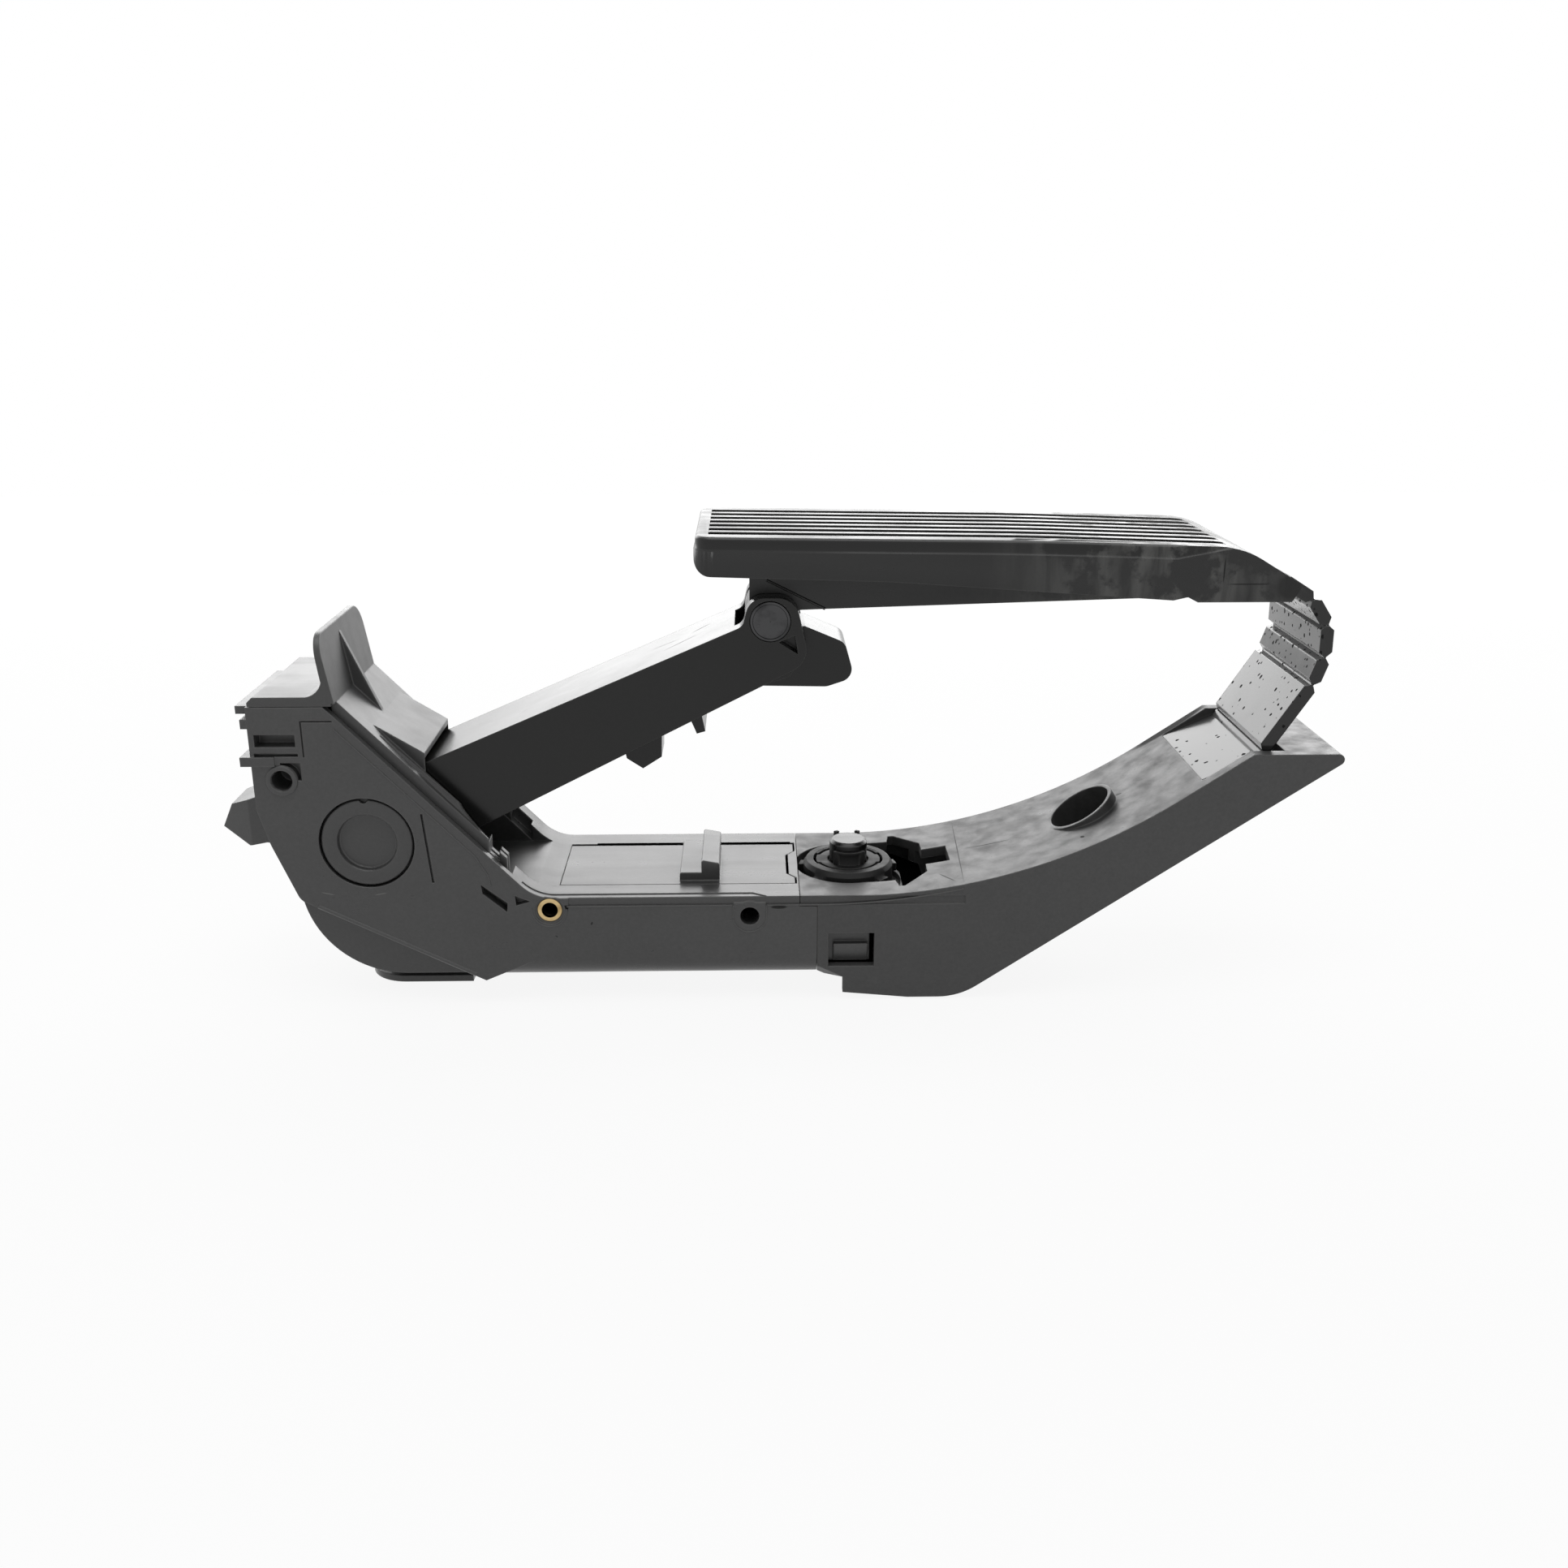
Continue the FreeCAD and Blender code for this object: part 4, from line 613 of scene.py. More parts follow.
FINISHES: dict[str, Finish] = {
    "base_plastic": MouldedPlastic("moulded glass-filled nylon of the base", "363636", "525252", 0.31,
                                   cloud=0.06, streak=0.03, grain_um=9.0, marks=BASE_MARKS_AND_PAINTED_LIGHT),
    "ramp_plastic": MouldedPlastic("moulded glass-filled nylon of the ramp", "3A3A3A", "585858", 0.42,
                                   cloud=0.14, streak=0.03, cloud_mm=6.0, marks=RAMP_MARKS_AND_PAINTED_SHADE, ior=1.42),
    "cover_plastic": MouldedPlastic("moulded nylon of the covers", "363636", "4C4C4C", 0.34, cloud=0.06,
                                    streak=0.03, grain_um=7.0),
    "arm_plastic": MouldedPlastic("polished moulded nylon of the arm", "151515", "1E1E1D", 0.22, cloud=0.03,
                                  streak=0.01, grain_um=0.8, edge_mm=0.5, marks=ARM_MARKS, ior=1.38),
    "pad_plastic": MouldedPlastic("moulded elastomer-skinned nylon of the pad", "191919", "282828", 0.32,
                                  edge_mm=0.4, specks=Specks(7.0, 0.3, 0.10, "B4B4B0"),
                                  residue=Residue(50.0, 96.0, 140.0, 0.55), marks=PAD_MARKS,
                                  ior=1.42),
    "strap_plastic": MouldedPlastic("moulded polypropylene of the strap", "202020", "282828", 0.17,
                                    cloud=0.05, streak=0.02, grain_um=2.0, edge_mm=0.5, edge_glint=0.05,
                                    ior=1.42, glaze=1.9,
                                    specks=Specks(1.6, 0.6, 0.24, crowd=(76.0, 92.0, 0.8),
                                                  hollow=(105.0, 94.0, 33.2, 66.0))),
    "switch_plastic": MouldedPlastic("moulded acetal of the switch ring", "161616", "202020", 0.55,
                                     edge_mm=0.4, edge_glint=0.5, ior=1.38),
    "button_plastic": MouldedPlastic("moulded acetal of the switch button", "131313", "1A1A1A", 0.26,
                                     edge_mm=0.5),
    "insert_brass": TurnedMetal("turned brass", "C6AE80", "8A7048", 0.30, 0.3,
                                (INSERT[0], 0.0, INSERT[1]), bore_mm=2.0),
    "bush_bronze": TurnedMetal("sintered bronze", "A9794A", "6B4A2A", 0.45, 0.3, (PIVOT[0], 0.0, PIVOT[1])),
    "shaft_steel": TurnedMetal("ground steel", "C4C6C8", "8C8E90", 0.22, 0.3, (PIVOT[0], 0.0, PIVOT[1])),
    "pin_steel": TurnedMetal("blackened steel", "4A4A4B", "2E2E2F", 0.40, 0.35, (PIN[0], 0.0, PIN[1])),
    "spring_steel": TurnedMetal("drawn spring wire", "9FA2A6", "5E6064", 0.32, 0.5),
    "terminal_tin": TurnedMetal("tinned copper", "C9CACB", "8F8F90", 0.28, 0.5),
    "board_laminate": PressedBody("glass-cloth laminate", "1F4D2C", "2F6B3E", 0.45, 0.7),
    "sensor_epoxy": PressedBody("moulded epoxy", "161617", "262627", 0.55, 0.3),
    "magnet_ferrite": PressedBody("sintered ferrite", "2B2B2D", "3C3C40", 0.6, 0.5),
    SHADE_SHEET: ShadeSheet("near-black painted shade", "060606", "020202", 0.4),
}


@dataclass
class Palette:
    """Materials of the module, one for each slot of its record."""

    made: dict[str, bpy.types.Material]

    @classmethod
    def mixed(cls) -> "Palette":
        """Builds every finish once."""
        return cls({slot: finish.material() for slot, finish in FINISHES.items()})

    def dress_frame(self) -> None:
        """Gives every CAD node the material of its slot."""
        for row in frame["record"]["subparts"]:
            node = frame["nodes"][row["node"]]
            node.data.materials.clear()
            node.data.materials.append(self.made[row["material_slot"]])


# Bench


def clear_bench() -> None:
    """Leaves edit mode and deselects everything."""
    if bpy.context.object is not None and bpy.context.object.mode != "OBJECT":
        bpy.ops.object.mode_set(mode="OBJECT")
    bpy.ops.object.select_all(action="DESELECT")


@dataclass
class Workpiece:
    """One mesh on the bench, shaped by operators and finished into a piece of the module.

    Attributes:
        obj: The object in the making.
    """

    obj: bpy.types.Object

    @classmethod
    def named(cls, name: str) -> "Workpiece":
        """Takes the primitive that was just added and gives it its name."""
        obj = bpy.context.object
        obj.name = name
        obj.data.name = name
        return cls(obj)

    @classmethod
    def block(cls, name: str, low: Point, high: Point) -> "Workpiece":
        """Adds a block between two corners.

        Args:
            name: Name of the piece.
            low: Lowest corner in millimetres.
            high: Highest corner in millimetres.

        Returns:
            The block on the bench.
        """
        clear_bench()
        start, end = Vector(low) * MM, Vector(high) * MM
        bpy.ops.mesh.primitive_cube_add(size=1.0, location=(start + end) / 2, scale=end - start)
        piece = cls.named(name)
        piece.settle()
        return piece

    @classmethod
    def outline(cls, name: str, points: Sequence[Point], way: Way, start: float, end: float) -> "Workpiece":
        """Draws an outline out of a filled ring and extrudes it.

        Args:
            name: Name of the piece.
            points: Corners of the outline in millimetres, (x, z) for ACROSS and (x, y) for UP.
            way: Direction of the extrusion.
            start: Where it begins in millimetres.
            end: Where it ends.

        Returns:
            The drawn-out piece.
        """
        clear_bench()
        bpy.ops.mesh.primitive_circle_add(vertices=len(points), fill_type="NGON")
        piece = cls.named(name)
        spots = [(a, start, b) if way is Way.ACROSS else (a, b, start) for a, b in points]
        for vert, spot in zip(piece.obj.data.vertices, spots):
            vert.co = Vector(spot) * MM
        move = (0.0, (end - start) * MM, 0.0) if way is Way.ACROSS else (0.0, 0.0, (end - start) * MM)
        with piece.edit():
            bpy.ops.mesh.select_all(action="SELECT")
            bpy.ops.mesh.extrude_region_move(TRANSFORM_OT_translate={"value": move})
            bpy.ops.mesh.select_all(action="SELECT")
            bpy.ops.mesh.normals_make_consistent(inside=False)
        return piece

    @classmethod
    def turned(cls, name: str, profile: Sequence[Point], centre: Point, way: Way,
               steps: int = 64) -> "Workpiece":
        """Spins a closed profile round an axis.

        Args:
            name: Name of the piece.
            profile: (radius, height) corners in millimetres.
            centre: Foot of the axis in millimetres.
            way: Direction of the axis.
            steps: Steps of the spin.

        Returns:
            The turned piece.
        """
        clear_bench()
        bpy.ops.mesh.primitive_circle_add(vertices=len(profile), fill_type="NOTHING")
        piece = cls.named(name)
        for vert, (radius, height) in zip(piece.obj.data.vertices, profile):
            vert.co = Vector((radius, 0.0, height)) * MM
        with piece.edit():
            bpy.ops.mesh.select_all(action="SELECT")
            bpy.ops.mesh.spin(steps=steps, angle=2 * math.pi, center=(0.0, 0.0, 0.0), axis=(0.0, 0.0, 1.0))
            bpy.ops.mesh.select_all(action="SELECT")
            bpy.ops.mesh.remove_doubles(threshold=1e-6)
            bpy.ops.mesh.normals_make_consistent(inside=False)
        if way is Way.NEARWARD:
            piece.obj.data.transform(Matrix.Rotation(math.radians(90), 4, "X"))
        piece.obj.data.transform(Matrix.Translation(Vector(centre) * MM))
        return piece

    @classmethod
    def swept(cls, name: str, spots: Sequence[tuple[Vector, Vector, Vector]],
              profile: Sequence[Point]) -> "Workpiece":
        """Bends a grid into a closed profile that follows a path.

        Args:
            name: Name of the piece.
            spots: Place, sideways and upward direction at each step of the path.
            profile: (sideways, upward) corners in millimetres.

        Returns:
            The swept piece with closed ends.
        """
        clear_bench()
        rows, columns = len(spots) - 1, len(profile)
        bpy.ops.mesh.primitive_grid_add(x_subdivisions=rows, y_subdivisions=columns, size=1.0)
        piece = cls.named(name)
        for vert in piece.obj.data.vertices:
            spot, aside, up = spots[round((vert.co.x + 0.5) * rows)]
            a, b = profile[round((vert.co.y + 0.5) * columns) % columns]
            vert.co = (spot + aside * a + up * b) * MM
        with piece.edit():
            bpy.ops.mesh.select_all(action="SELECT")
            bpy.ops.mesh.remove_doubles(threshold=1e-7)
            bpy.ops.mesh.fill_holes(sides=0)
            bpy.ops.mesh.select_all(action="SELECT")
            bpy.ops.mesh.normals_make_consistent(inside=False)
        return piece

    @classmethod
    def copy_of(cls, node: str, name: str, flat_deg: float = 0.4) -> "Workpiece":
        """Copies a CAD node, welds its loose triangles and clears its flat faces.

        Args:
            node: Name of the CAD node.
            name: Name of the piece.
            flat_deg: Angle up to which neighbouring triangles become one face.

        Returns:
            The copy on the bench.
        """
        clear_bench()
        source = frame["nodes"][node]
        source.select_set(True)
        bpy.context.view_layer.objects.active = source
        bpy.ops.object.duplicate()
        piece = cls.named(name)
        piece.obj.parent = None
        for key in list(piece.obj.keys()):
            del piece.obj[key]
        with piece.edit():
            bpy.ops.mesh.select_all(action="SELECT")
            bpy.ops.mesh.remove_doubles(threshold=2e-6)
            bpy.ops.mesh.dissolve_limited(angle_limit=math.radians(flat_deg))
        return piece

    @contextmanager
    def edit(self) -> Iterator[None]:
        """Holds the piece in edit mode."""
        bpy.context.view_layer.objects.active = self.obj
        bpy.ops.object.mode_set(mode="EDIT")
        yield
        bpy.ops.object.mode_set(mode="OBJECT")

    def pick_faces(self, test: Callable[[Vector, Vector], bool]) -> None:
        """Selects faces in edit mode by their place and normal.

        Args:
            test: Takes the centre in millimetres and the normal.
        """
        bpy.ops.mesh.select_mode(type="FACE")
        bpy.ops.mesh.select_all(action="DESELECT")
        mesh = bmesh.from_edit_mesh(self.obj.data)
        for face in mesh.faces:
            face.select_set(test(face.calc_center_median() / MM, face.normal))
        mesh.select_flush_mode()
        bmesh.update_edit_mesh(self.obj.data)

    def settle(self) -> None:
        """Puts the object's place and size into its mesh."""
        clear_bench()
        self.obj.select_set(True)
        bpy.context.view_layer.objects.active = self.obj
        bpy.ops.object.transform_apply(location=True, rotation=True, scale=True)

    def modify(self, kind: str, **settings: Any) -> None:
        """Adds a modifier and applies it.

        Args:
            kind: Modifier type.
            settings: Its settings.
        """
        clear_bench()
        bpy.context.view_layer.objects.active = self.obj
        made = self.obj.modifiers.new(kind.title(), kind)
        for key, value in settings.items():
            setattr(made, key, value)
        bpy.ops.object.modifier_apply(modifier=made.name)

    def soften(self, width_mm: float, segments: int = 2, angle_deg: float = 35.0) -> None:
        """Rounds the edges that are sharper than an angle.

        Args:
            width_mm: Width of the rounding.
            segments: Faces across it.
            angle_deg: Least angle.
        """
        self.modify("BEVEL", width=width_mm * MM, segments=segments, limit_method="ANGLE",
                    angle_limit=math.radians(angle_deg), use_clamp_overlap=False, miter_outer="MITER_ARC")

    def bored(self, cutter: "Workpiece") -> None:
        """Cuts another workpiece out of this one and throws it away."""
        self.modify("BOOLEAN", operation="DIFFERENCE", object=cutter.obj, solver="EXACT")
        bpy.data.objects.remove(cutter.obj)

    def copied(self, name: str, move: Matrix) -> "Workpiece":
        """Copies the piece with a mesh of its own.

        Args:
            name: Name of the copy.
            move: Where the copy goes, in metres.

        Returns:
            The copy.
        """
        twin = self.obj.copy()
        twin.data = self.obj.data.copy()
        twin.data.transform(move)
        twin.name = name
        bpy.context.scene.collection.objects.link(twin)
        return Workpiece(twin)

    def done(self, palette: Palette, slot: str, body: Optional[str], *nodes: str, smooth_deg: float = 32.0,
             look: Optional[str] = None) -> bpy.types.Object:
        """Smooths, dresses and seats the finished piece.

        Args:
            palette: Materials of the module.
            slot: Material slot of the record.
            body: Body that it rides on, or none for a piece that rides on no body.
            nodes: CAD nodes that it stands for.
            smooth_deg: Angle up to which its faces shade as one.
            look: Finish, where it isn't the slot's own.

        Returns:
            The finished object.
        """
        clear_bench()
        self.obj.select_set(True)
        bpy.context.view_layer.objects.active = self.obj
        bpy.ops.object.shade_smooth_by_angle(angle=math.radians(smooth_deg))
        self.obj.data.materials.clear()
        self.obj.data.materials.append(palette.made[look or slot])
        if body is not None:
            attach(self.obj, body)
        if nodes:
            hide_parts(*nodes)
        self.obj.select_set(False)
        LOG.info("%s: %d faces", self.obj.name, len(self.obj.data.polygons))
        return self.obj


def on_wall(points: Sequence[Point], wall: float) -> list[tuple[Vector, Vector, Vector]]:
    """Turns a line drawn on an upright wall into a path for a lip.

    Args:
        points: (x, z) corners in millimetres.
        wall: Y of the wall, which faces away from the middle.

    Returns:
        Place, sideways and outward direction at each corner.
    """
    spots = [Vector((x, wall, z)) for x, z in points]
    path = []
    for i, spot in enumerate(spots):
        along = (spots[min(i + 1, len(spots) - 1)] - spots[max(i - 1, 0)]).normalized()
        path.append((spot, Vector((along.z, 0.0, -along.x)), Vector((0.0, math.copysign(1.0, wall), 0.0))))
    return path


# Sub-assemblies


@dataclass
class BaseModule:
    """Pivot cap, brass insert and fine lips of the base, with black sheets of painted shade in its gaps.

    Attributes:
        cap_r: Radius of the pivot cap.
        cap_face: Y of the cap's face.
        cap_depth: Depth of the cap.
        dish_r: Radius of its sunk middle.
        dish: Depth of its sunk middle.
        insert_r: Outer radius of the brass insert.
        bore_r: Radius of its bore.
        insert_face: Y of the insert's face.
        insert_long: Length of the insert.
        pitch: Pitch of its thread.
        near: Y of the base's near face.
        eye: Locating eye on that face.
        peg: Peg hole on that face.
        ledge: Height of the ledge under the tub's rim.
        head: Upper end of the slope's edge.
        fall_deg: Fall of the slope.
        tub: Height of the tub's rim.
        foot_r: Radius of the slope's foot.
        wall_edge: Lower edge of the near wall over the chamber.
        window: Snap window in the ramp, as its least and greatest x and z.
        lid: Least and greatest x and far edge of the open slot beside the lid.
        tongue: Y of the two faces of the painted-shade sheet behind the near snap tongue.
        tongue_step: Step from there to the far one.
        peg_cradle_r: Radius of the cradle round the peg hole.
        insert_cradle_r: Radius of the cradle round the insert.
        seam: X of the seam between base and ramp.
        ramp_end: X where the ledge's lip ends on the ramp.
        ramp_rise: Rise of the lip along the ramp.
        lip_drop: Drop of the slope's lip under its edge.
    """

    cap_r: float = 11.75
    cap_face: float = -23.25
    cap_depth: float = 2.9
    dish_r: float = 7.44
    dish: float = 1.7
    insert_r: float = 3.25
    bore_r: float = 2.0
    insert_face: float = -23.2
    insert_long: float = 8.0
    pitch: float = 0.8
    near: float = -23.5
    eye: Point = (-123.1, 61.9)
    peg: Point = (-5.8, 23.8)
    ledge: float = 26.9
    head: Point = (-111.2, 81.0)
    fall_deg: float = 46.1
    tub: float = 29.2
    foot_r: float = 12.0
    wall_edge: tuple[Point, ...] = ((-117.5, 27.12), (-98.0, 17.36), (-78.0, 7.35))
    window: tuple[float, float, float, float] = (12.6, 28.0, 6.2, 19.6)
    lid: tuple[float, float, float] = (-49.0, 5.7, 15.6)
    tongue: tuple[float, float] = (-18.45, -17.7)
    tongue_step: float = 36.15
    peg_cradle_r: float = 4.4
    insert_cradle_r: float = 4.45
    seam: float = 11.8
    ramp_end: float = 50.0
    ramp_rise: float = 4.2
    lip_drop: float = 3.4

    def build(self, palette: Palette) -> None:
        """Builds the cap, the insert, the lips of the near face and the sheets of painted shade."""
        self.cap(palette)
        self.insert(palette)
        self.collars(palette)
        self.lips(palette)
        self.rim_bead(palette)
        self.shade_sheets(palette)

    def shade_sheets(self, palette: Palette) -> None:
        """Lays black sheets of painted shade behind the snap tongues and beside the lid."""
        x0, x1, z0, z1 = self.window
        behind = Workpiece.block("tongue_shade_near", (x0, self.tongue[0], z0), (x1, self.tongue[1], z1))
        behind.soften(0.1, 1)
        other = behind.copied("tongue_shade_far", Matrix.Translation((0.0, self.tongue_step * MM, 0.0)))
        behind.done(palette, "base_plastic", "base", look=SHADE_SHEET)
        other.done(palette, "base_plastic", "base", look=SHADE_SHEET)
        start, end, far = self.lid
        strip = Workpiece.block("lid_gap_shade", (start, far - 0.05, self.tub - 0.3),
                                (end, far + 0.75, self.tub + 0.05))
        strip.soften(0.02, 1)
        strip.done(palette, "base_plastic", "base", look=SHADE_SHEET)

    def cradle(self, centre: Point, radius: float, top: float) -> list[Point]:
        """Draws a U that hangs round a hole from the ledge.

        Args:
            centre: Middle of the hole.
            radius: Radius of the U.
            top: Height of its two ends.

        Returns:
            Corners of the U.
        """
        x, z = centre
        bow = [(x + radius * math.cos(math.pi * (1 + i / 24)), z + radius * math.sin(math.pi * (1 + i / 24)))
               for i in range(25)]
        return [(x - radius, top), *bow, (x + radius, top)]

    def collars(self, palette: Palette) -> None:
        """Turns the raised collar of the locating eye."""
        ring = Workpiece.turned("eye_collar", [(2.65, -0.4), (4.0, -0.4), (4.0, 0.2), (3.85, 0.42),
                                               (3.6, 0.5), (3.1, 0.5), (2.8, 0.4), (2.65, 0.15)],
                                (self.eye[0], self.near, self.eye[1]), Way.NEARWARD, 48)
        ring.done(palette, "base_plastic", "base")

    def lips(self, palette: Palette) -> None:
        """Lays the thin lips and the lower bead on the near face."""
        lip = [(-0.24, -0.1), (0.24, -0.1), (0.14, 0.16), (-0.14, 0.16)]
        peg_r, insert_r = self.peg_cradle_r, self.insert_cradle_r
        ledge = [(INSERT[0] + insert_r, self.ledge), (self.peg[0] - peg_r, self.ledge)]
        run = [(self.peg[0] + peg_r, self.ledge), (self.seam, self.ledge)]
        for i in range(1, 13):
            t = i / 12
            run.append((self.seam + (self.ramp_end - self.seam) * t, self.ledge + self.ramp_rise * t * t))
        fall = math.tan(math.radians(self.fall_deg))
        edge = [(x, self.head[1] - (x - self.head[0]) * fall - self.lip_drop) for x in (-109.0, -92.0, -76.0)]
        edge += [(-74.3, 37.9), (-73.1, 35.9), (-72.6, 33.0)]
        lines = {"peg_cradle": self.cradle(self.peg, peg_r, self.ledge),
                 "insert_cradle": self.cradle(INSERT, insert_r, self.ledge - 0.6),
                 "ledge_lip": ledge, "ramp_ledge_lip": run, "slope_lip": edge}
        for name, points in lines.items():
            Workpiece.swept(name, on_wall(points, self.near), lip).done(palette, "base_plastic", "base")
        bead = [(-0.45 + 0.7 * math.cos(math.pi * i / 5), -0.45 + 0.7 * math.sin(math.pi * i / 5))
                for i in range(10)]
        Workpiece.swept("wall_bead", on_wall(self.wall_edge, self.near), bead).done(palette, "base_plastic",
                                                                                  "base")

    def rim_bead(self, palette: Palette) -> None:
        """Lays the bead that runs down the slope's foot and along the tub's near rim."""
        fall = math.radians(self.fall_deg)
        foot_x = self.head[0] + (self.head[1] - self.tub) / math.tan(fall)
        reach = self.foot_r * math.tan(fall / 2)
        path = []
        for i in range(13):
            turn = fall * (1 - i / 12)
            x = foot_x + reach - self.foot_r * math.sin(turn)
            z = self.tub + self.foot_r * (1 - math.cos(turn))
            path.append((Vector((x, self.near + 2.7, z)), Vector((0.0, 1.0, 0.0)),
                         Vector((math.sin(turn), 0.0, math.cos(turn)))))
        for x, y in ((-5.0, 2.7), (-1.4, 0.5)):
            path.append((Vector((x, self.near + y, self.tub)), Vector((0.0, 1.0, 0.0)),
                         Vector((0.0, 0.0, 1.0))))
        bead = Workpiece.swept("rim_bead", path, [(-0.3, -0.1), (0.3, -0.1), (0.2, 0.22), (-0.2, 0.22)])
        bead.done(palette, "base_plastic", "base")

    def cap(self, palette: Palette) -> None:
        """Turns the cap with its rounded rim, sunk middle and half-round notch."""
        d, r, s = self.cap_depth, self.cap_r, self.dish_r
        piece = Workpiece.turned("pivot_cap_face", [
            (0.0, 0.0), (r, 0.0), (r, d - 0.9), (r - 0.1, d - 0.45), (r - 0.35, d - 0.14), (r - 0.8, d),
            (s + 0.7, d), (s + 0.3, d - 0.1), (s + 0.08, d - 0.35), (s, d - 0.7),
            (s - 0.05, d - self.dish + 0.2), (s - 0.3, d - self.dish), (0.0, d - self.dish)],
            (PIVOT[0], self.cap_face + d, PIVOT[1]), Way.NEARWARD, 96)
        notch = Workpiece.turned("notch", [(0.0, 0.0), (1.1, 0.0), (1.1, 3.0), (0.0, 3.0)],
                                 (PIVOT[0], self.cap_face + 1.4, PIVOT[1] + r), Way.NEARWARD, 24)
        piece.bored(notch)
        piece.done(palette, "cover_plastic", "base", "pivot_cap")

    def insert(self, palette: Palette) -> None:
        """Turns the brass insert and cuts the ridges of its thread."""
        r, b, long = self.insert_r, self.bore_r, self.insert_long
        piece = Workpiece.turned("brass_insert", [
            (b, 0.0), (r, 0.0), (r, 2.6), (r - 0.35, 2.9), (r - 0.35, 4.0), (r, 4.3), (r, long - 0.35),
            (r - 0.1, long - 0.12), (r - 0.3, long), (b + 0.3, long), (b + 0.1, long - 0.1),
            (b, long - 0.35)],
            (INSERT[0], self.insert_face + long, INSERT[1]), Way.NEARWARD, 64)
        piece.done(palette, "insert_brass", "base", "threaded_insert")
        clear_bench()
        bpy.ops.mesh.primitive_circle_add(vertices=3, fill_type="NOTHING")
        ridge = Workpiece.named("insert_thread")
        crest = ((b + 0.04, -0.3), (b - 0.26, 0.0), (b + 0.04, 0.3))
        for vert, (x, z) in zip(ridge.obj.data.vertices, crest):
            vert.co = Vector((x, 0.0, z)) * MM
        turns = int((long - 1.6) / self.pitch)
        ridge.modify("SCREW", angle=2 * math.pi, screw_offset=self.pitch * MM, iterations=turns, steps=40,
                     render_steps=40, axis="Z", use_merge_vertices=True, merge_threshold=1e-7)
        ridge.obj.data.transform(Matrix.Translation(
            Vector((INSERT[0], self.insert_face + long - 0.5, INSERT[1])) * MM)
            @ Matrix.Rotation(math.radians(90), 4, "X"))
        with ridge.edit():
            bpy.ops.mesh.select_all(action="SELECT")
            bpy.ops.mesh.fill_holes(sides=4)
            bpy.ops.mesh.normals_make_consistent(inside=False)
        ridge.done(palette, "insert_brass", "base")


@dataclass
class CoilSpring:
    """Round wire coil that stands for a plain CAD coil.

    Attributes:
        node: CAD coil that it replaces.
        radius: Middle radius of the coil.
        wire_r: Radius of the wire.
        turns: Whole turns.
        pitch: Rise of a turn.
        foot: Start of its axis.
        way: Direction of the axis.
    """

    node: str
    radius: float
    wire_r: float
    turns: int
    pitch: float
    foot: Point
    way: Way

    def build(self, palette: Palette) -> bpy.types.Object:
        """Winds a ring of wire up its axis.

        Args:
            palette: Materials of the module.

        Returns:
            The finished coil.
        """
        clear_bench()
        bpy.ops.mesh.primitive_circle_add(vertices=12, radius=self.wire_r * MM, fill_type="NOTHING",
                                          rotation=(math.radians(90), 0.0, 0.0),
                                          location=(self.radius * MM, 0.0, 0.0))
        piece = Workpiece.named(self.node + "_wire")
        piece.settle()
        piece.modify("SCREW", angle=2 * math.pi, screw_offset=self.pitch * MM, iterations=self.turns,
                     steps=40, render_steps=40, axis="Z", use_merge_vertices=True, merge_threshold=1e-7)
        with piece.edit():
            bpy.ops.mesh.select_all(action="SELECT")
            bpy.ops.mesh.fill_holes(sides=12)
            bpy.ops.mesh.normals_make_consistent(inside=False)
        if self.way is Way.ACROSS:
            piece.obj.data.transform(Matrix.Rotation(math.radians(-90), 4, "X"))
        piece.obj.data.transform(Matrix.Translation(Vector(self.foot) * MM))
        return piece.done(palette, "spring_steel", "base", self.node, smooth_deg=50.0)


